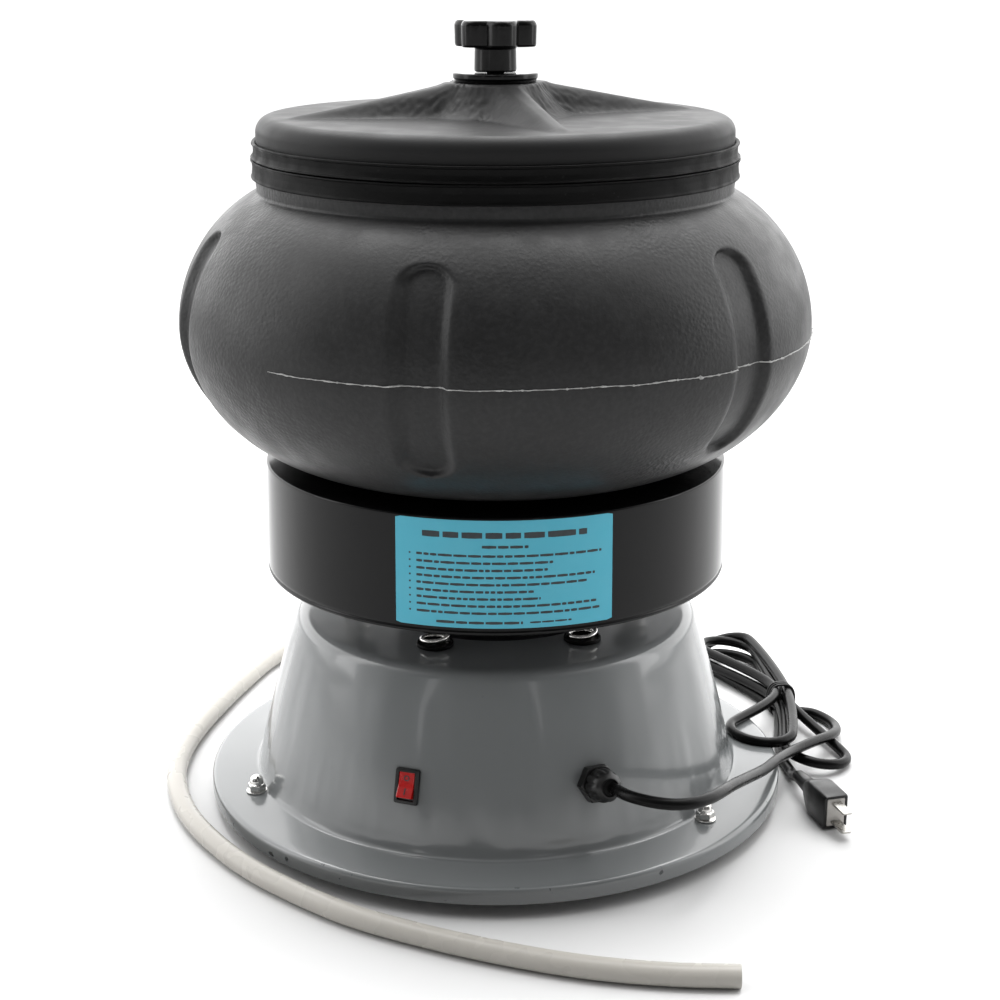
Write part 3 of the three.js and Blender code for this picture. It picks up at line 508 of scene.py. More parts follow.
def rounded(corners, radius, steps=4, closed=True):
    """A polyline with its corners rounded. radius is one number, or one for each corner."""
    count = len(corners)
    radii = radius if isinstance(radius, (list, tuple)) else [radius] * count
    out = []
    for i, corner in enumerate(corners):
        here = Vector(corner)
        if not closed and i in (0, count - 1):
            out.append(tuple(here))
            continue
        back = Vector(corners[i - 1]) - here
        ahead = Vector(corners[(i + 1) % count]) - here
        reach = min(radii[i], back.length * 0.49, ahead.length * 0.49)
        if reach < 1e-7:
            out.append(tuple(here))
            continue
        start = here + back.normalized() * reach
        end = here + ahead.normalized() * reach
        for step in range(steps + 1):
            t = step / steps
            out.append(tuple(start * (1 - t) ** 2 + here * 2 * t * (1 - t) + end * t * t))
    return out


def turned(name, profile, skin, columns=ROUND, shape=None, crease=38):
    """A solid of revolution about Z from (radius, height) points. shape(bearing, radius, height, row) may
    move each point in or out and up or down. An outline that doesn't start and end on the axis is a loop."""
    rows = len(profile)
    on_axis = profile[0][0] == 0 and profile[-1][0] == 0
    points = []
    for column in range(columns):
        bearing = 360 * column / columns
        sin, cos = math.sin(math.radians(bearing)), math.cos(math.radians(bearing))
        for row, (radius, height) in enumerate(profile):
            if shape is not None:
                radius, height = shape(bearing, radius, height, row)
            points.append((radius * sin, -radius * cos, height))
    faces = []
    for column in range(columns):
        here = column * rows
        there = ((column + 1) % columns) * rows
        for row in range(rows - 1 if on_axis else rows):
            nxt = (row + 1) % rows
            faces.append((here + row, there + row, there + nxt, here + nxt))
    return mesh_piece(name, points, faces, skin, crease)


def lofted(name, rings, skin, crease=38, capped=True):
    """A skin over rings of equal point count, with flat ends."""
    count = len(rings[0])
    points = [p for ring in rings for p in ring]
    faces = []
    for i in range(len(rings) - 1):
        for j in range(count):
            k = (j + 1) % count
            faces.append((i * count + j, i * count + k, (i + 1) * count + k, (i + 1) * count + j))
    if capped:
        faces.append(tuple(range(count)))
        faces.append(tuple(range((len(rings) - 1) * count, len(rings) * count)))
    return mesh_piece(name, points, faces, skin, crease)


def on_plan(bearing, radius, height=0.0):
    turn = math.radians(bearing)
    return Vector((radius * math.sin(turn), -radius * math.cos(turn), height))


def place_at(piece, bearing, radius, height=0.0):
    """Moves a piece made about the axis out to a station on the plan, its -Y facing outwards."""
    piece.data.transform(Matrix.Translation(on_plan(bearing, radius, height))
                         @ Matrix.Rotation(math.radians(bearing), 4, "Z"))
    return piece


def smoothstep(value, low=0.0, high=1.0):
    t = min(max((value - low) / (high - low), 0), 1)
    return t * t * (3 - 2 * t)


def spline_through(points, spacing):
    """Points about spacing apart on a centripetal Catmull-Rom curve through the given ones."""
    way = [Vector(p) for p in points]
    way = [way[0] * 2 - way[1]] + way + [way[-1] * 2 - way[-2]]
    out = []
    for i in range(1, len(way) - 2):
        p0, p1, p2, p3 = way[i - 1:i + 3]
        t0 = 0.0
        t1 = t0 + (p1 - p0).length ** 0.5
        t2 = t1 + (p2 - p1).length ** 0.5
        t3 = t2 + (p3 - p2).length ** 0.5
        steps = max(2, round((p2 - p1).length / spacing))
        for step in range(steps):
            t = t1 + (t2 - t1) * step / steps
            a1 = p0 * ((t1 - t) / (t1 - t0)) + p1 * ((t - t0) / (t1 - t0))
            a2 = p1 * ((t2 - t) / (t2 - t1)) + p2 * ((t - t1) / (t2 - t1))
            a3 = p2 * ((t3 - t) / (t3 - t2)) + p3 * ((t - t2) / (t3 - t2))
            b1 = a1 * ((t2 - t) / (t2 - t0)) + a2 * ((t - t0) / (t2 - t0))
            b2 = a2 * ((t3 - t) / (t3 - t1)) + a3 * ((t - t1) / (t3 - t1))
            out.append(b1 * ((t2 - t) / (t2 - t1)) + b2 * ((t - t1) / (t2 - t1)))
    out.append(way[-2])
    return out


def rings_along(points, radii, sides):
    """Round sections along a line, without twist. radii is one number or one for each point."""
    if not isinstance(radii, (list, tuple)):
        radii = [radii] * len(points)
    heading = (points[1] - points[0]).normalized()
    side = heading.orthogonal().normalized()
    rings = []
    for i, point in enumerate(points):
        ahead = points[min(i + 1, len(points) - 1)] - points[max(i - 1, 0)]
        heading = ahead.normalized()
        side = (side - heading * side.dot(heading)).normalized()
        other = heading.cross(side)
        turns = [2 * math.pi * k / sides for k in range(sides)]
        rings.append([point + (side * math.cos(turn) + other * math.sin(turn)) * radii[i] for turn in turns])
    return rings


# ---------- power cord ----------
CORD_ROUTE = [
    (69.3, -153.2, 65.6), (73.7, -161.5, 66.8), (80.5, -168.3, 67.5), (90, -172.5, 67.2), (101, -172.8, 66.2),
    (111.5, -169, 65.2), (121, -160, 63.5), (130, -144.5, 60), (139, -124, 54.5), (152, -93, 44.5),
    (168, -58, 34), (181, -27, 26.5), (195.2, 0.4, 20),
]
IN_GLAND = (66.2, -146.1, 63.6)
LEAD_LOOP = [(213, 25, 15.5), (227.5, 45, 11), (235.5, 65, 6.5), (235, 84, 4.0), (225.5, 100, 3.6)]
PLUG_LEAD = [(198, 78, 3.6), (194, 50, 3.6), (192.5, 24, 3.6)]
PLUG_LEAD_ROUTE = [(195.4, -1.6, 4.4), (195.3, -6, 5.7), (195.5, -12.5, 8.2), (196, -18.2, 10.7)]
PLUG_START = (196.4, -20.4, 11.6)
PLUG_BEARING = 16
TIE = (203, 108)
TIE_ROWS = (3.7, 11.0, 18.3)
FOLD_R = 20.5
# Each fold: the centre of its bend on the plan, and the heights where the cord enters and leaves it.
FOLDS = [
    ((177, 189), 3.8, 9.5),
    ((215, 27), 11.0, 3.8),
    ((176, 196), 11.5, 17.0),
    ((178.5, 31), 22.9, 20.5),
    ((174, 203), 17.5, 3.8),
]


def fold(centre, low, high, steps=12):
    """The bend of one fold, half round its centre on the far side from the tie."""
    heading = math.atan2(centre[1] - TIE[1], centre[0] - TIE[0])
    points = []
    for i in range(steps + 1):
        t = i / steps
        angle = heading - math.pi / 2 + math.pi * t
        height = low + (high - low) * smoothstep(t)
        points.append((centre[0] + FOLD_R * math.cos(angle), centre[1] + FOLD_R * math.sin(angle), height))
    return points


def tie_spot(column, row):
    return (TIE[0] + 3.7 * column, TIE[1], TIE_ROWS[row])


def cord_line():
    """The whole cord, from the gland to the plug: lead, hank and plug lead."""
    way = [IN_GLAND] + CORD_ROUTE + LEAD_LOOP
    spots = [(1, 0), (-1, 1), (1, 1), (-1, 2), (1, 2), (-1, 0)]
    for i, (column, row) in enumerate(spots):
        way.append(tie_spot(column, row))
        if i < len(FOLDS):
            way.extend(fold(*FOLDS[i]))
    way += PLUG_LEAD + PLUG_LEAD_ROUTE
    return spline_through([Vector(p) * MM for p in way], 2.5 * MM)


def make_cord():
    line = cord_line()
    curve = bpy.data.curves.new("power_cord", "CURVE")
    curve.dimensions = "3D"
    curve.bevel_depth = CORD_R
    curve.bevel_resolution = 5
    curve.use_fill_caps = True
    spline = curve.splines.new("POLY")
    spline.points.add(len(line) - 1)
    for point, place in zip(spline.points, line):
        point.co = (*place, 1)
    spline.use_smooth = True
    cord = link_object("power_cord", curve, "cord_jacket")
    settle(cord, "base", "cord_jacket", "cord_lead", "cord_hank", "cord_plug_lead")
    parts = [make_tie()] + make_plug()


def make_tie():
    """A wire tie wound round the bundle."""
    turns = 2.6
    steps = 110
    width, height = 8.6, 12.2
    points = []
    for i in range(steps + 1):
        angle = 2 * math.pi * turns * i / steps
        across = math.copysign(abs(math.cos(angle)) ** 0.75, math.cos(angle)) * width
        up = math.copysign(abs(math.sin(angle)) ** 0.75, math.sin(angle)) * height
        along = (i / steps - 0.5) * 6.5
        spot = (TIE[0] + across - along * 0.27, TIE[1] + along + across * 0.1, TIE_ROWS[1] + max(up, -10.2))
        points.append(Vector(spot) * MM)
    tie = lofted("cord_tie", rings_along(points, 0.85 * MM, 10), "black_plastic")
    return settle(tie, "base", "cord_jacket")


def plug_section(half_w, half_h, corner, along):
    """A rounded rectangle across the plug's axis; half_h is along the plug's tall side."""
    return [Vector((x, y, along)) for x, y in rounded(
        [(-half_w, -half_h), (half_w, -half_h), (half_w, half_h), (-half_w, half_h)], corner, 6)]


def make_plug():
    """The moulded plug lies on its narrow side. It is made along +Z from where the cord goes in."""
    turn = Matrix.Rotation(math.radians(PLUG_BEARING), 4, "Z") @ Matrix.Rotation(math.pi / 2, 4, "X")
    where = Matrix.Translation(Vector(PLUG_START) * MM) @ turn
    sections = [
        (3.7, 3.7, 3.6, -1), (4.1, 4.1, 3.9, 3), (4.5, 4.5, 4.2, 10), (4.9, 4.9, 4.3, 16),
        (5.6, 6.2, 3.6, 18.5), (6.8, 8.6, 3.2, 23.5), (7.7, 10.5, 2.8, 28), (8.15, 11.1, 2.5, 31.5),
        (8.2, 11.2, 2.4, 40),
        (8.2, 11.2, 2.4, 52.8), (7.7, 10.7, 2.2, 53.8), (6.4, 9.4, 1.4, 54), (6.2, 9.2, 1.3, 53.3),
    ]
    rings = [plug_section(w * MM, h * MM, c * MM, a * MM) for w, h, c, a in sections]
    body = lofted("plug_moulding", rings, "black_plastic")
    insert_rings = [plug_section(w * MM, h * MM, 1.1 * MM, a * MM)
                    for w, h, a in ((6.0, 9.0, 52.6), (6.0, 9.0, 53.6), (5.7, 8.7, 53.9))]
    insert = lofted("plug_insert", insert_rings, "plug_insert")
    made = [body, insert]
    for label, offset in (("upper", 6.35), ("lower", -6.35)):
        blade = lofted(f"plug_pin_{label}", [
            [Vector((x, y + offset * MM, a * MM)) for x, y in rounded(
                [(-w * MM, -t * MM), (w * MM, -t * MM), (w * MM, t * MM), (-w * MM, t * MM)], 0.2 * MM, 3)]
            for w, t, a in ((3.17, 0.75, 52.4), (3.17, 0.75, 68.2), (2.6, 0.5, 70))], "plug_nickel")
        made.append(blade)
    for piece in made:
        piece.data.transform(where)
    settle(body, "base", "black_plastic", "plug_body")
    settle(insert, "base", "black_plastic")
    settle(made[2], "base", "plug_nickel", "plug_blade_upper")
    settle(made[3], "base", "plug_nickel", "plug_blade_lower")
    return made


# ---------- drain hose ----------
HOSE_ROUTE = [
    (50.8, 189.9, 252), (56, 209, 251.7), (58, 230, 247), (54, 250, 235), (42, 268, 214), (22, 283, 184),
    (-4, 295, 149), (-35, 303, 112), (-68, 306, 77), (-99, 302, 47), (-125, 289, 25), (-143, 267, 11.5),
    (-155, 240, 6.8), (-165, 213, 6.4), (-176, 186, 6.4), (-187, 150, 6.4), (-197, 112, 6.4), (-206, 70, 6.4),
    (-210.5, 32, 6.4), (-209.5, -4, 6.4), (-202, -38, 6.4), (-189, -71, 6.4), (-170, -103, 6.4),
    (-146, -134, 6.4), (-117, -162, 6.4), (-81, -190, 6.4), (-40, -212, 6.4), (5, -231, 6.4),
    (50, -245, 6.4), (92, -252, 6.4), (130, -254, 6.4),
]


def make_hose():
    """Soft tubing pushed over the spigot at one end and cut off square at the other."""
    line = spline_through([Vector(p) * MM for p in HOSE_ROUTE], 3 * MM)
    start = line[0]
    outward = (line[1] - line[0]).normalized()
    line = [start - outward * reach * MM for reach in (12, 9, 6, 3)] + line
    run = 0.0
    radii = []
    for i, point in enumerate(line):
        run += (point - line[i - 1]).length if i else 0
        over_spigot = 1 - smoothstep(run, 12 * MM, 20 * MM)
        radii.append(HOSE_R * (1 + 0.012 * noise.noise(point * 28)) + 0.9 * MM * over_spigot)
    outer = rings_along(line, radii, 40)
    cut_end = rings_along(line[-12:], HOSE_BORE_R, 40)
    mouth = rings_along(line[:4], [6.2 * MM] * 4, 40)
    soft_edge = rings_along(line[-2:], HOSE_R - 0.5 * MM, 40)[-1]
    hose = lofted("drain_tube", list(reversed(mouth[:3])) + outer + [soft_edge] + list(reversed(cut_end[1:])),
                  "milky_plastic")
    # A mesh tube's path has to run through every ring, and the inside rings lie on the same line.
    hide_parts("drain_hose")
    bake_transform(hose)


# ---------- base ----------
def cone_radius(height):
    rise = (height - CONE_FOOT_Z) / MM
    return CONE_FOOT_R - (0.2067 * rise + 0.000597 * rise * rise) * MM


def cone_lean(height):
    return math.atan(0.2067 + 2 * 0.000597 * (height - CONE_FOOT_Z) / MM)


def onto_cone(piece, bearing, height):
    """Lays a piece made about +Z on the cone, so that its +Z points straight out of the wall."""
    piece.data.transform(
        Matrix.Rotation(math.radians(bearing), 4, "Z")
        @ Matrix.Translation((0, -cone_radius(height), height))
        @ Matrix.Rotation(math.pi / 2 - cone_lean(height), 4, "X"))
    return piece


def base_wobble(bearing, radius, height, row):
    """Pressed sheet is never quite true: shallow upright waves in the cone, fewer in the flange."""
    turn = math.radians(bearing)
    around = Vector((math.sin(turn), math.cos(turn), 0))
    upright = noise.noise(around * 3.1 + Vector((0, 0, height * 5)))
    upright += 0.52 * noise.noise(around * 9 + Vector((5, 0, height * 9)))
    low_down = 1 - smoothstep(height, 40 * MM, 90 * MM)
    upright += 0.26 * noise.noise(around * 22 + Vector((0, 3, height * 22))) * low_down
    on_cone = smoothstep(height, 22 * MM, 34 * MM) * (1 - smoothstep(height, 104 * MM, 118 * MM))
    on_flange = 1 - smoothstep(height, 21.5 * MM, 24 * MM)
    ripple = noise.noise(around * 4 + Vector((0, 9, radius * 30)))
    edge = 1 - smoothstep(radius, FLANGE_R - 6 * MM, FLANGE_R)
    return radius + upright * on_cone * 1.15 * MM, height + ripple * on_flange * edge * 0.3 * MM


def make_base():
    inner = BASE_WALL
    cone_steps = 30
    cone = []
    for i in range(cone_steps + 1):
        height = 24 * MM + (BASE_TOP_Z - 13 * MM - 24 * MM) * i / cone_steps
        cone.append((cone_radius(height), height))
    top_r = cone_radius(BASE_TOP_Z) - 0.5 * MM
    outside = rounded([
        (FLANGE_R, SKIRT_Z), (FLANGE_R, FLANGE_Z), (FLANGE_R - 14 * MM, FLANGE_Z + 0.8 * MM),
        (CONE_FOOT_R + 1 * MM, CONE_FOOT_Z - 0.6 * MM), (cone_radius(26 * MM), 26 * MM)],
        [0, 3.3 * MM, 6 * MM, 3.0 * MM, 0], 8, closed=False)
    shoulder = rounded([cone[-1], (top_r, BASE_TOP_Z), (BASE_HOLE_R + 8 * MM, BASE_TOP_Z)],
                       [0, 11 * MM, 0], 12, closed=False)
    inside = [
        (BASE_HOLE_R, BASE_TOP_Z), (BASE_HOLE_R, BASE_TOP_Z - inner), (top_r - 11 * MM, BASE_TOP_Z - inner),
        (cone[-1][0] - inner * 1.2, cone[-1][1]), (cone_radius(60 * MM) - inner * 1.2, 60 * MM),
        (CONE_FOOT_R - 1.5 * MM, CONE_FOOT_Z - 0.6 * MM - inner), (FLANGE_R - inner, FLANGE_Z - inner),
        (FLANGE_R - inner, SKIRT_Z)]
    profile = outside[:-1] + [p for p in cone if p[1] > 26.1 * MM] + shoulder[1:] + inside
    settle(turned("base_shell", profile, "grey_enamel", FINE, base_wobble), "base", "grey_enamel",
           "base_housing")


def hexed(half):
    """A shape for turned(): points further out than half its width are cut back to a hexagon."""
    def shape(bearing, radius, height, row):
        turn = math.radians((bearing + 30) % 60 - 30)
        return min(radius, half / math.cos(turn)), height
    return shape


def make_feet():
    seat = FLANGE_Z + 1.6 * MM
    for i, bearing in enumerate(FOOT_BEARINGS, 1):
        foot = turned(f"foot_pad_{i}", rounded([
            (6.6 * MM, 0), (FOOT_R - 1.5 * MM, 0), (FOOT_R, 2.5 * MM), (FOOT_R - 0.8 * MM, 13.9 * MM),
            (3.4 * MM, 13.9 * MM), (3.4 * MM, 6 * MM), (6.6 * MM, 6 * MM)], 0.9 * MM), "black_rubber", SMALL)
        settle(place_at(foot, bearing, FOOT_CIRCLE_R), "base", "black_rubber", f"foot_{i}")
        bolt = turned(f"foot_screw_{i}", rounded([
            (0, 1.8 * MM), (5.0 * MM, 1.8 * MM), (5.2 * MM, 5.6 * MM), (3 * MM, 5.6 * MM),
            (3 * MM, seat + 6 * MM), (0, seat + 6 * MM)], 0.5 * MM, 3, closed=False), "bright_steel", SMALL)
        settle(place_at(bolt, bearing, FOOT_CIRCLE_R), "base", "bright_steel", f"foot_bolt_{i}")
        hexagon = 5.0 * MM
        nut = turned(f"dome_nut_{i}", rounded([
            (0, seat), (6.6 * MM, seat), (6.6 * MM, seat + 0.9 * MM), (5.77 * MM, seat + 1.5 * MM),
            (5.77 * MM, seat + 4.6 * MM), (4.9 * MM, seat + 5.4 * MM), (4.3 * MM, seat + 5.5 * MM),
            (4.25 * MM, seat + 7.2 * MM), (3.6 * MM, seat + 9.3 * MM), (1.8 * MM, seat + 10.5 * MM),
            (0, seat + 10.7 * MM)], 0.5 * MM, 3, closed=False), "bright_steel", 72,
            lambda b, r, z, row: (r if z < seat + 1.2 * MM else hexed(hexagon)(b, r, z, row)[0], z))
        settle(place_at(nut, bearing, FOOT_CIRCLE_R), "base", "bright_steel", f"acorn_nut_{i}")


def box_loop(half_w, half_h, corner, height):
    return [Vector((x, y, height)) for x, y in rounded(
        [(-half_w, -half_h), (half_w, -half_h), (half_w, half_h), (-half_w, half_h)], corner, 5)]


def make_switch():
    face = 2.6 * MM
    frame_rings = [
        box_loop(6.3 * MM, 9.3 * MM, 0.6 * MM, -15 * MM), box_loop(6.3 * MM, 9.3 * MM, 0.6 * MM, 0.2 * MM),
        box_loop(7.5 * MM, 10.5 * MM, 1.5 * MM, 0.2 * MM), box_loop(7.5 * MM, 10.5 * MM, 1.5 * MM, 1.7 * MM),
        box_loop(7.1 * MM, 10.1 * MM, 1.3 * MM, 2.5 * MM), box_loop(6.6 * MM, 9.6 * MM, 1.1 * MM, face),
        box_loop(5.2 * MM, 8.4 * MM, 0.6 * MM, face), box_loop(5.0 * MM, 8.2 * MM, 0.5 * MM, 2.3 * MM),
        box_loop(5.0 * MM, 8.2 * MM, 0.5 * MM, -5 * MM),
    ]
    bezel = onto_cone(lofted("switch_bezel", frame_rings, "black_plastic"), SWITCH_BEARING, SWITCH_Z)
    settle(bezel, "base", "black_plastic", "switch_housing")
    # The rocker's side view about its pivot; its local +Y is up the wall, and its top end is pressed in.
    half, end_h, valley_h = 7.7 * MM, 6.3 * MM, 4.6 * MM
    side = rounded([
        (-half, end_h), (-half, 1.2 * MM), (-3.5 * MM, -1.6 * MM), (3.5 * MM, -1.6 * MM), (half, 1.2 * MM),
        (half, end_h), (0, valley_h)], [0.6 * MM, 1 * MM, 1 * MM, 1 * MM, 1 * MM, 0.6 * MM, 2.5 * MM], 5)
    widths = ((-4.75, 0.92), (-4.45, 1.0), (4.45, 1.0), (4.75, 0.92))
    rings = [[Vector((w * MM, y * k, z * k + (1 - k) * 2 * MM)) for y, z in side] for w, k in widths]
    rocker = lofted("rocker_cap", rings, "red_rocker", 30)
    marks = rocker_marks(half, end_h, valley_h)
    tilt = Matrix.Translation((0, 0, face - valley_h)) @ Matrix.Rotation(math.radians(-12), 4, "X")
    for piece in [rocker] + marks:
        piece.data.transform(tilt)
        onto_cone(piece, SWITCH_BEARING, SWITCH_Z)
    settle(rocker, "rocker", "red_rocker", "switch_rocker")
    for mark in marks:
        settle(mark, "rocker", "red_rocker")


def rocker_marks(half, end_h, valley_h):
    """The usual off ring and on bar, moulded a hair proud of the two faces."""
    slope = math.atan2(end_h - valley_h, half)
    made = []
    for name, way in (("mark_off", 1), ("mark_on", -1)):
        if name == "mark_off":
            mark = turned(name, rounded([
                (1.1 * MM, -0.2 * MM), (1.7 * MM, -0.2 * MM), (1.7 * MM, 0.16 * MM), (1.1 * MM, 0.16 * MM)],
                0.08 * MM), "label_ink", SMALL)
        else:
            mark = lofted(name, [box_loop(0.32 * MM, 2.0 * MM, 0.25 * MM, z * MM) for z in (-0.2, 0.1, 0.16)],
                          "label_ink")
        along = half * 0.5
        mark.data.transform(Matrix.Translation((0, way * along, valley_h + along * math.tan(slope)))
                            @ Matrix.Rotation(way * slope, 4, "X"))
        made.append(mark)
    return made


def make_gland():
    body = turned("gland_hex", rounded([
        (4.1 * MM, 0.3 * MM), (11.6 * MM, 0.3 * MM), (12.0 * MM, 1.0 * MM),
        (12.0 * MM, 6.0 * MM), (10.6 * MM, 6.9 * MM), (4.1 * MM, 6.9 * MM)], 0.4 * MM), "black_plastic", 96,
        lambda b, r, z, row: (hexed(10.2 * MM)(b, r, z, row)[0], z))
    settle(onto_cone(body, GLAND_BEARING, GLAND_Z), "base", "black_plastic", "gland_body")

    def ribbed(bearing, radius, height, row):
        on_grip = smoothstep(radius, 8.4 * MM, 9.2 * MM)
        flute = 0.5 + 0.5 * math.cos(math.radians(bearing * 10))
        return radius - on_grip * (flute ** 3) * 0.6 * MM, height
    cap = turned("gland_dome", rounded([
        (0, 7.2 * MM), (9.8 * MM, 7.2 * MM), (9.8 * MM, 13.0 * MM), (9.3 * MM, 16.2 * MM),
        (7.9 * MM, 18.6 * MM), (6.0 * MM, 20.6 * MM), (5.2 * MM, 21.0 * MM), (4.6 * MM, 20.2 * MM),
        (0, 19.6 * MM)], 0.7 * MM, closed=False),
        "black_plastic", 168, ribbed)
    settle(onto_cone(cap, GLAND_BEARING, GLAND_Z), "base", "black_plastic", "gland_cap")


def make_springs():
    low, high = SPRING_Z
    steps = int(SPRING_TURNS * 28)
    for i, bearing in enumerate(SPRING_BEARINGS, 1):
        line = []
        for k in range(steps + 1):
            t = k / steps
            turn = 2 * math.pi * SPRING_TURNS * t
            rise = smoothstep(t, -0.12, 1.12) * 1.16 - 0.08
            height = low + (high - low) * min(max(rise, 0), 1)
            line.append(Vector((SPRING_COIL_R * math.cos(turn), SPRING_COIL_R * math.sin(turn), height)))
        spring = lofted(f"coil_spring_{i}", rings_along(line, SPRING_WIRE_R, 12), "bright_steel")
        place_at(spring, bearing, SPRING_CIRCLE_R)
        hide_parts(f"spring_{i}")
        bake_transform(spring)
        cup = turned(f"spring_seat_{i}", rounded([
            (0, 121.2 * MM), (4.4 * MM, 121.2 * MM), (4.4 * MM, 123.2 * MM), (2.4 * MM, 123.2 * MM),
            (2.4 * MM, 126.3 * MM), (11.2 * MM, 126.3 * MM), (11.2 * MM, 128.6 * MM), (10 * MM, 128.6 * MM),
            (10 * MM, 127.5 * MM), (0, 127.5 * MM)], 0.5 * MM, 3, closed=False), "black_rubber", SMALL)
        settle(place_at(cup, bearing, SPRING_CIRCLE_R), "base", "black_rubber", f"spring_cup_{i}")


# ---------- drum and motor ----------
def drum_radius(height):
    return DRUM_FOOT_R + (DRUM_TOP_R - DRUM_FOOT_R) * (height - DRUM_Z) / (DRUM_TOP_Z - DRUM_Z)


def make_drum():
    def wobble(bearing, radius, height, row):
        turn = math.radians(bearing)
        around = Vector((math.sin(turn), math.cos(turn), 0))
        side = smoothstep(radius, 120 * MM, 140 * MM)
        return radius + side * noise.noise(around * 3.4 + Vector((0, 0, height * 16))) * 0.22 * MM, height
    wall = [(drum_radius(z * MM), z * MM) for z in (160.5, 172, 184, 196, 208, 222)]
    outline = rounded([
        (DRUM_FOOT_R - 2.4 * MM, DRUM_Z + 0.1 * MM), (DRUM_FOOT_R - 0.3 * MM, DRUM_Z + 0.1 * MM),
        (DRUM_FOOT_R + 0.15 * MM, DRUM_Z + 1.0 * MM), (DRUM_FOOT_R + 0.15 * MM, DRUM_Z + 2.0 * MM),
        (DRUM_FOOT_R - 0.55 * MM, DRUM_Z + 2.8 * MM), (DRUM_FOOT_R - 0.1 * MM, DRUM_Z + 3.6 * MM)],
        0.5 * MM, 4, closed=False)
    top = rounded([wall[-1], (DRUM_TOP_R, DRUM_TOP_Z), (DRUM_TOP_R - 12 * MM, DRUM_TOP_Z)],
                  [0, 1.6 * MM, 0], 6, closed=False)
    inside = [(6 * MM, DRUM_TOP_Z), (6 * MM, DRUM_TOP_Z - 2 * MM), (DRUM_TOP_R - 6 * MM, DRUM_TOP_Z - 2 * MM),
              (DRUM_TOP_R - 2.2 * MM, DRUM_TOP_Z - 6 * MM)]
    settle(turned("drum_shell", outline + wall[:-1] + top + inside, "black_gloss_paint", FINE, wobble),
           "tumbler", "black_gloss_paint", "drum")


def wrapped(name, patches, skin, lift, thickness):
    """Thin patches wrapped round the drum. Each is (first bearing, last bearing, low, high, corner)."""
    points, faces = [], []
    for first, last, low, high, corner in patches:
        mid_b, mid_z = (first + last) / 2, (low + high) / 2
        arc_r = drum_radius(mid_z)
        half_w = math.radians(last - first) / 2 * arc_r
        half_h = (high - low) / 2
        slices = max(2, int(2 * half_w / (3 * MM)))
        lower, upper = [], []
        for k in range(slices + 1):
            x = -half_w + 2 * half_w * k / slices
            inset = max(0, abs(x) - (half_w - corner))
            drop = corner - math.sqrt(max(corner ** 2 - inset ** 2, 0))
            lower.append((x, -half_h + drop))
            upper.append((x, half_h - drop))
        start = len(points)
        for layer in (lift, lift + thickness):
            for x, y in lower + upper:
                z = mid_z + y
                points.append(on_plan(mid_b + math.degrees(x / arc_r), drum_radius(z) + layer, z))
        n = slices + 1
        for layer in (0, 2 * n):
            for k in range(slices):
                faces.append((start + layer + k, start + layer + k + 1, start + layer + n + k + 1,
                              start + layer + n + k))
        rim = list(range(n)) + [n + k for k in reversed(range(n))]
        for a, b in zip(rim, rim[1:] + rim[:1]):
            faces.append((start + a, start + b, start + 2 * n + b, start + 2 * n + a))
    return mesh_piece(name, points, faces, skin)


def text_bars():
    """Plain dark bars where a notice would have its words: a title, a short line and nine numbered ones."""
    rng = random.Random(4)
    low, high = LABEL_Z
    first, last = LABEL_BEARINGS
    degree = math.degrees(1 / DRUM_FOOT_R)
    middle = (first + last) / 2
    bars = []

    def line(start, end, height, tall, words):
        spot = start
        while spot < end - 0.7 * MM:
            length = min(rng.uniform(*words) * MM, end - spot)
            bars.append((middle + spot * degree, middle + (spot + length) * degree,
                         height - tall / 2, height + tall / 2, 0.18 * MM))
            spot += length + tall * 0.5
    line(-47 * MM, 47 * MM, high - 8.6 * MM, 3.6 * MM, (8, 17))
    line(-13 * MM, 13 * MM, high - 15.2 * MM, 1.8 * MM, (5, 9))
    ends = (56, 27, 24, 52, 47, 16, 20, 53, 55)
    for i, end in enumerate(ends):
        height = high - (20.6 + i * 4.2) * MM
        bars.append((middle - 55 * MM * degree, middle - 53.9 * MM * degree, height - 0.6 * MM,
                     height + 0.6 * MM, 0.2 * MM))
        line(-50.5 * MM, end * MM, height, 1.6 * MM, (2.4, 8.5))
    line(-39 * MM, 10 * MM, low + 3.2 * MM, 1.7 * MM, (4, 11))
    line(14 * MM, 38 * MM, low + 3.2 * MM, 1.2 * MM, (3, 9))
    return bars


def make_label():
    sheet = wrapped("label_sheet", [(*LABEL_BEARINGS, *LABEL_Z, 0.8 * MM)], "label_film", 0.2 * MM, 0.25 * MM)
    settle(sheet, "tumbler", "label_film", "data_label")
    bars = wrapped("label_bars", text_bars(), "label_ink", 0.4 * MM, 0.08 * MM)
    settle(bars, "tumbler", "label_film")


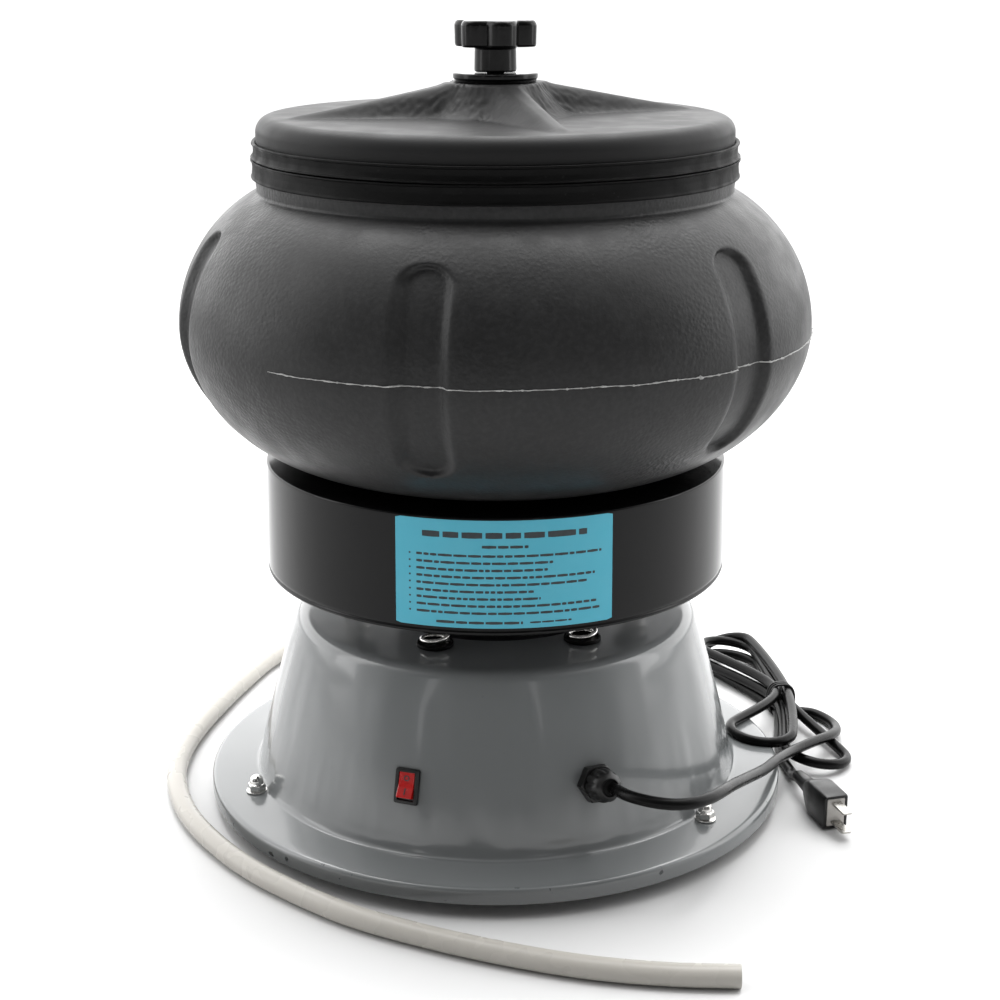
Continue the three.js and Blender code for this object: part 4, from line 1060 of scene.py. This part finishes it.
def make_motor():
    plate = turned("motor_mount", rounded([
        (17.5 * MM, 157 * MM), (139.8 * MM, 157 * MM), (139.8 * MM, 160 * MM),
        (17.5 * MM, 160 * MM)], 0.5 * MM),
        "plain_steel", ROUND)
    settle(plate, "tumbler", "plain_steel", "motor_plate")
    for i, bearing in enumerate(SPRING_BEARINGS, 1):
        cup = turned(f"spring_cap_{i}", rounded([
            (10 * MM, 151 * MM), (11.2 * MM, 151 * MM), (11.2 * MM, 157.2 * MM),
            (10 * MM, 157.2 * MM)], 0.4 * MM),
            "plain_steel", SMALL)
        settle(place_at(cup, bearing, SPRING_CIRCLE_R), "tumbler", "plain_steel")
    can = turned("motor_can", rounded([
        (52.5 * MM, 78.3 * MM), (55 * MM, 78.3 * MM), (55 * MM, 152 * MM), (64 * MM, 152 * MM),
        (64 * MM, 156.7 * MM), (16.8 * MM, 156.7 * MM), (16.8 * MM, 163.7 * MM), (6.6 * MM, 163.7 * MM),
        (6.6 * MM, 160 * MM), (13.3 * MM, 160 * MM), (13.3 * MM, 149.7 * MM),
        (52.5 * MM, 149.7 * MM)], 0.8 * MM),
        "cast_iron", ROUND, lambda b, r, z, row: (
            r + (0.9 * MM * max(0, math.cos(math.radians(b * 30))) ** 2
                 if 54 * MM < r < 56 * MM and 80 * MM < z < 150 * MM else 0), z))
    settle(can, "tumbler", "cast_iron", "motor_housing")
    bell = turned("motor_bell", rounded([
        (6.6 * MM, 66 * MM), (55 * MM, 66 * MM), (55 * MM, 78 * MM), (50 * MM, 78 * MM), (50 * MM, 70.5 * MM),
        (17 * MM, 70.5 * MM), (17 * MM, 78 * MM), (13.3 * MM, 78 * MM), (13.3 * MM, 70 * MM),
        (6.6 * MM, 70 * MM)],
        1.2 * MM), "cast_iron", ROUND)
    settle(bell, "tumbler", "cast_iron", "motor_end_bell")


# ---------- bowl ----------
def bowl_wall(inset, low_steps, high_steps):
    """The bowl's wall from its foot to its neck, moved in by inset."""
    width = BOWL_SECTION_R - inset
    low_h = BOWL_WAIST_Z - BOWL_Z - inset
    high_h = BOWL_UPPER_H - inset
    neck = math.acos((BOWL_NECK_R - inset - BOWL_RING_R) / width)
    wall = []
    for i in range(low_steps):
        angle = math.pi / 2 * (1 - i / low_steps)
        cos, sin = max(math.cos(angle), 0) ** (2 / BOWL_POWER), math.sin(angle) ** (2 / BOWL_POWER)
        wall.append((BOWL_RING_R + width * cos, BOWL_WAIST_Z - low_h * sin))
    for i in range(high_steps + 1):
        angle = neck * i / high_steps
        wall.append((BOWL_RING_R + width * math.cos(angle), BOWL_WAIST_Z + high_h * math.sin(angle)))
    return wall


def girth_at(height, table):
    """Length along the outer wall up to a height, read from (height, length) pairs."""
    for (z0, s0), (z1, s1) in zip(table, table[1:]):
        if height <= z1:
            return s0 + (s1 - s0) * (height - z0) / max(z1 - z0, 1e-9)
    return table[-1][1]


def girth_table():
    wall = bowl_wall(0, 60, 60)
    table = [(wall[0][1], 0.0)]
    for (r0, z0), (r1, z1) in zip(wall, wall[1:]):
        table.append((z1, table[-1][1] + math.hypot(r1 - r0, z1 - z0)))
    return table


GIRTH = girth_table()


def recess_depth(bearing, radius, height):
    """How far an upright oval recess pushes the wall in, with soft sides."""
    pitch = 360 / RECESS_COUNT
    offset = (bearing - RECESS_BEARING + pitch / 2) % pitch - pitch / 2
    if abs(offset) > 9 or not RECESS_Z[0] - 12 * MM < height < RECESS_Z[1] + 12 * MM:
        return 0.0
    low, high = (girth_at(z, GIRTH) for z in RECESS_Z)
    across = radius * math.radians(offset)
    along = girth_at(height, GIRTH)
    beyond = max(low + RECESS_HALF_W - along, along - high + RECESS_HALF_W, 0)
    inside = RECESS_HALF_W - math.hypot(across, beyond)
    return RECESS_DEPTH * smoothstep(inside, -0.6 * MM, 5.2 * MM)


def bowl_surface(bearing, radius, height, row=0):
    """The moulded wall: recesses, and the slow unevenness of a rotationally moulded piece."""
    if radius < BOWL_RING_R * 1.02:
        return radius, height
    turn = math.radians(bearing)
    spot = Vector((radius * math.sin(turn), radius * math.cos(turn), height))
    slow = noise.noise(spot * 13) * 0.55 * MM + noise.noise(spot * 34 + Vector((3, 0, 0))) * 0.2 * MM
    calm = 1 - smoothstep(height, 380 * MM, 392 * MM)
    return radius - recess_depth(bearing, radius, height) + slow * calm, height


def make_bowl():
    outer = bowl_wall(0, 90, 80)
    neck = rounded([outer[-1], (BOWL_NECK_R - 0.4 * MM, 389 * MM), (BOWL_NECK_R, 392.5 * MM),
                    (BOWL_NECK_R, BOWL_RIM_Z), (BOWL_NECK_R - BOWL_WALL, BOWL_RIM_Z),
                    (BOWL_NECK_R - BOWL_WALL, 392 * MM)],
                   [0, 2 * MM, 2 * MM, 1 * MM, 1 * MM, 0], 5, closed=False)
    inner = list(reversed(bowl_wall(BOWL_WALL, 40, 34)))
    floor = BOWL_Z + BOWL_WALL
    cone = rounded([
        inner[-1], (65 * MM, floor), (22 * MM, 390 * MM), (17 * MM, 396 * MM), (5.6 * MM, 396 * MM),
        (5.6 * MM, 392 * MM), (15 * MM, 392 * MM), (18 * MM, 388 * MM), (62 * MM, BOWL_Z)],
        [0, 14 * MM, 4 * MM, 2 * MM, 0, 0, 2 * MM, 4 * MM, 4 * MM], 8, closed=False)
    profile = outer + neck[1:] + inner[1:] + cone[1:]
    shell = turned("bowl_shell", profile, "bowl_plastic", 480, bowl_surface, 60)
    settle(shell, "tumbler", "bowl_plastic", "bowl")


def make_flash():
    """The thin ragged fin left along the mould's parting line, sunk out of sight where it is trimmed."""
    columns = 1440
    points = []
    for i in range(columns):
        bearing = 360 * i / columns
        signed = (bearing + 180) % 360 - 180
        around = Vector((math.sin(math.radians(bearing)), math.cos(math.radians(bearing)), 0))
        height = FLASH_Z - 2.2 * MM * smoothstep(signed, 10, 75) * (1 - smoothstep(signed, 120, 175))
        height += noise.noise(around * 9) * 0.5 * MM + noise.noise(around * 60) * 0.25 * MM
        ragged = max(0, noise.noise(around * 42 + Vector((2, 0, 0))))
        nib = max(0, noise.noise(around * 120 + Vector((0, 4, 0))) - 0.25)
        gone = smoothstep(signed, *FLASH_TRIMMED[0]) * (1 - smoothstep(signed, *FLASH_TRIMMED[1]))
        reach = ((0.55 + 1.4 * ragged + 3.2 * nib) * (1 - gone) - 0.8 * gone) * MM
        tall = (0.34 + 0.55 * ragged + 1.3 * nib) * (1 - 0.5 * gone) * MM
        radius = bowl_surface(bearing, BOWL_RING_R + BOWL_SECTION_R, height)[0]
        for r, z in ((radius - 0.6 * MM, height - tall), (radius + reach * 0.7, height - tall * 0.4),
                     (radius + reach, height + tall * 0.3), (radius - 0.6 * MM, height + tall)):
            points.append(on_plan(bearing, r, z))
    faces = []
    for i in range(columns):
        j = (i + 1) % columns
        for k in range(4):
            m = (k + 1) % 4
            faces.append((4 * i + k, 4 * j + k, 4 * j + m, 4 * i + m))
    settle(mesh_piece("bowl_flash", points, faces, "flash_plastic", 60), "tumbler", "bowl_plastic")


def waved(amount, seed):
    """A shape for turned(): soft rubber lips wander a little up and down, and in and out."""
    def shape(bearing, radius, height, row):
        turn = math.radians(bearing)
        around = Vector((math.sin(turn), math.cos(turn), seed))
        lip = smoothstep(radius, 142.6 * MM, 144.5 * MM)
        up = noise.noise(around * 2.6) + 0.4 * noise.noise(around * 8)
        out = noise.noise(around * 5 + Vector((7, 0, 0)))
        return radius + out * lip * amount * 0.5, height + up * lip * amount
    return shape


def make_seals():
    lower = rounded([
        (142.7 * MM, 396.4 * MM), (144.7 * MM, 396.1 * MM), (145.3 * MM, 396.9 * MM),
        (144.6 * MM, 398.0 * MM),
        (144.2 * MM, 402.5 * MM), (144.5 * MM, 405.9 * MM), (145.4 * MM, 406.5 * MM),
        (145.0 * MM, 407.3 * MM),
        (134 * MM, 407.3 * MM), (134 * MM, 405.4 * MM), (142.7 * MM, 405.4 * MM)], 0.5 * MM)
    settle(turned("rim_rubber", lower, "black_rubber", FINE, waved(0.35 * MM, 1)), "tumbler", "black_rubber",
           "bowl_rim_seal")
    upper = rounded([
        (134 * MM, 407.7 * MM), (144.7 * MM, 407.8 * MM), (145.2 * MM, 408.5 * MM), (144.0 * MM, 409.2 * MM),
        (143.4 * MM, 412 * MM), (143.6 * MM, 415.2 * MM), (144.6 * MM, 416.2 * MM), (144.2 * MM, 417.2 * MM),
        (142.0 * MM, 416.9 * MM), (142.0 * MM, 409.2 * MM), (134 * MM, 409.2 * MM)], 0.5 * MM)
    settle(turned("lid_rubber", upper, "black_rubber", FINE, waved(0.4 * MM, 6)), "lid", "black_rubber",
           "lid_seal")


def onto_drain(piece):
    """Turns a piece made along +Z to point out of the bowl at the drain."""
    piece.data.transform(Matrix.Rotation(math.radians(DRAIN_BEARING), 4, "Z")
                         @ Matrix.Translation((0, 0, DRAIN_Z)) @ Matrix.Rotation(math.pi / 2, 4, "X"))
    return piece


def make_bowl_fittings():
    rod = turned("clamp_rod", rounded([
        (0, 213 * MM), (5 * MM, 213 * MM), (5 * MM, 225.1 * MM), (13 * MM, 225.1 * MM), (13 * MM, 229.8 * MM),
        (5 * MM, 229.8 * MM), (5 * MM, 478 * MM), (0, 478 * MM)], 0.6 * MM, 3, closed=False),
        "threaded_steel", SMALL)
    settle(rod, "tumbler", "bright_steel", "centre_rod")
    low = 396.3 * MM
    nut = turned("flange_nut", rounded([
        (5.3 * MM, low), (15 * MM, low), (15 * MM, low + 1.6 * MM), (11 * MM, low + 2.6 * MM),
        (9.8 * MM, low + 2.8 * MM), (9.8 * MM, low + 8.2 * MM), (8.7 * MM, low + 9 * MM),
        (5.3 * MM, low + 9 * MM)], 0.4 * MM),
        "bright_steel", 96,
        lambda b, r, z, row: (hexed(8.5 * MM)(b, r, z, row)[0] if z > low + 2.7 * MM else r, z))
    settle(nut, "tumbler", "bright_steel", "bowl_nut")
    spigot = turned("drain_tail", rounded([
        (4 * MM, 150 * MM), (6 * MM, 150 * MM), (6 * MM, 172.5 * MM), (8.4 * MM, 172.5 * MM),
        (8.4 * MM, 176.5 * MM),
        (5.6 * MM, 177 * MM), (5.6 * MM, 181 * MM), (6.1 * MM, 181.4 * MM), (5.6 * MM, 188 * MM),
        (6.1 * MM, 188.4 * MM), (5.4 * MM, 196 * MM), (4 * MM, 196 * MM)], 0.3 * MM), "milky_plastic", SMALL)
    settle(onto_drain(spigot), "tumbler", "milky_plastic", "drain_spigot")
    collar = turned("drain_collar", rounded([
        (6.2 * MM, 158.5 * MM), (13.5 * MM, 158.5 * MM), (13.5 * MM, 166.2 * MM), (12 * MM, 168.4 * MM),
        (6.2 * MM, 168.4 * MM)], 1.0 * MM), "bowl_plastic", SMALL)
    settle(onto_drain(collar), "tumbler", "bowl_plastic")


# ---------- lid and clamp ----------
def ridge_shape(bearing, radius):
    """(height of the lid's ridges and hub over its flat, how much of a flank this is)."""
    if radius <= LID_HUB_R:
        return LID_RISE, 0.0
    t = (radius - LID_HUB_R) / (LID_RIDGE_END_R - LID_HUB_R)
    hub = LID_RISE * max(0, 1 - (radius - LID_HUB_R) / (21 * MM)) ** 1.6
    if t >= 1:
        return 0.0, 0.0
    pitch = 360 / LID_RIDGES
    offset = abs((bearing - LID_RIDGE_BEARING + pitch / 2) % pitch - pitch / 2)
    across = radius * math.sin(math.radians(offset)) / ((6 + 21 * (1 - t)) * MM)
    crest = LID_RISE * (1 - t) ** 1.1
    ridge = crest * (1 - smoothstep(across, 0.12, 0.95)) * smoothstep(1 - t, 0, 0.12)
    rise = (ridge ** 5 + hub ** 5) ** 0.2
    flank = smoothstep(across, 0.15, 0.45) * (1 - smoothstep(across, 0.9, 1.4)) * (1 - t)
    return min(rise, LID_RISE), flank


def lid_surface(bearing, radius, height, row):
    if height < LID_TOP_Z - LID_ROUND * 1.01 or radius < 5 * MM:
        return radius, height
    turn = math.radians(bearing)
    spot = Vector((radius * math.sin(turn), radius * math.cos(turn), 0))
    rise, flank = ridge_shape(bearing, radius)
    slow = noise.noise(spot * 11) * 0.3 * MM * smoothstep(radius, 27 * MM, 60 * MM)
    pebble = noise.noise(spot * 380) * 0.75 * MM * flank
    return radius, height + rise + slow * smoothstep(LID_R - radius, 0, 8 * MM) + pebble


def make_lid():
    flat_r = LID_R - LID_ROUND
    radii = [5.6, 10, 15, 20, 24, 26, 27.2] + [28.5 + 1.3 * i for i in range(79)]
    top = [(r * MM, LID_TOP_Z) for r in radii if r * MM < flat_r]
    shoulder = [(flat_r + LID_ROUND * math.sin(a), LID_TOP_Z - LID_ROUND + LID_ROUND * math.cos(a))
                for a in (math.pi / 2 * i / 12 for i in range(13))]
    under = LID_TOP_Z - LID_WALL
    below = [(LID_R - LID_WALL, LID_Z + 0.5 * MM), (LID_R - LID_WALL, LID_TOP_Z - LID_ROUND)]
    below += [(flat_r + 3 * MM, under - 1 * MM)]
    below += [(r * MM, under) for r in radii[::3][::-1] if r * MM < flat_r]
    profile = top + shoulder + [(LID_R + 0.1 * MM, LID_Z + 6 * MM), (LID_R, LID_Z)] + below

    def shape(bearing, radius, height, row):
        if row >= len(top) + len(shoulder):
            rise = ridge_shape(bearing, radius)[0] if radius < flat_r else 0
            return radius, height + rise
        return lid_surface(bearing, radius, height, row)
    settle(turned("lid_cover", profile, "lid_plastic", 480, shape, 60), "lid", "bowl_plastic", "lid")


def make_clamp():
    low, high = WASHER_Z
    washer = turned("clamp_disc", rounded([
        (5.6 * MM, low), (24.2 * MM, low), (24.3 * MM, low + 1.6 * MM),
        (WASHER_R, low + 2.2 * MM), (WASHER_R, high - 0.4 * MM),
        (WASHER_R - 0.8 * MM, high), (5.6 * MM, high)], 0.35 * MM), "black_gloss_plastic", ROUND)
    settle(washer, "clamp", "black_gloss_plastic", "clamp_washer")
    stem_z = high + 0.3 * MM
    outline = [
        (0, 479 * MM), (ROD_CLEAR, 479 * MM), (ROD_CLEAR, stem_z), (KNOB_STEM_R - 0.3 * MM, stem_z),
        (KNOB_STEM_R, stem_z + 0.8 * MM), (KNOB_STEM_R - 0.3 * MM, KNOB_HEAD_Z - 1.2 * MM),
        (KNOB_STEM_R + 0.6 * MM, KNOB_HEAD_Z), (KNOB_R - 0.8 * MM, KNOB_HEAD_Z),
        (KNOB_R - 0.3 * MM, KNOB_HEAD_Z + 1.2 * MM),
        (KNOB_R, KNOB_TOP_Z - 2.0 * MM), (KNOB_R - 1.6 * MM, KNOB_TOP_Z), (0, KNOB_TOP_Z)]
    profile = rounded(outline, 1.1 * MM, 5, closed=False)

    def lobed(bearing, radius, height, row):
        grip = smoothstep(radius, 13.5 * MM, 21 * MM)
        swell = (1 + math.cos(math.radians(KNOB_LOBES * (bearing - KNOB_BEARING)))) / 2
        return radius - grip * 5.5 * MM * (1 - swell ** 0.6), height
    knob = turned("knob_grip", profile, "black_gloss_plastic", 360, lobed, 42)
    settle(knob, "knob", "black_gloss_plastic", "knob")


# CAD nodes that stay as they are, out of sight inside the machine or under it, and their finishes.
KEPT = {
    "bottom_plate": "plain_steel", "gland_locknut": "black_plastic", "run_capacitor": "aluminium",
    "bearing_upper": "bright_steel", "bearing_lower": "bright_steel", "stator": "copper_winding",
    "rotor_shaft": "plain_steel", "eccentric_weight_lower": "cast_iron",
    "eccentric_weight_upper": "cast_iron",
    "rod_nut": "bright_steel",
}


def finish_kept_nodes():
    for name, skin in KEPT.items():
        node = nodes[name]
        node.data.materials.clear()
        node.data.materials.append(skins[skin])


def make_floor():
    size = 30
    data = bpy.data.meshes.new("floor")
    corners = [(-size, -size, -0.0002), (size, -size, -0.0002), (size, size, -0.0002), (-size, size, -0.0002)]
    data.from_pydata(corners, [], [(0, 1, 2, 3)])
    link_object("floor", data, "floor_white")


make_camera()
skins = make_skins()
make_cord()
make_hose()
make_light()
make_floor()
make_base()
make_feet()
make_switch()
make_gland()
make_springs()
make_drum()
make_label()
make_motor()
make_bowl()
make_flash()
make_seals()
make_bowl_fittings()
make_lid()
make_clamp()
finish_kept_nodes()
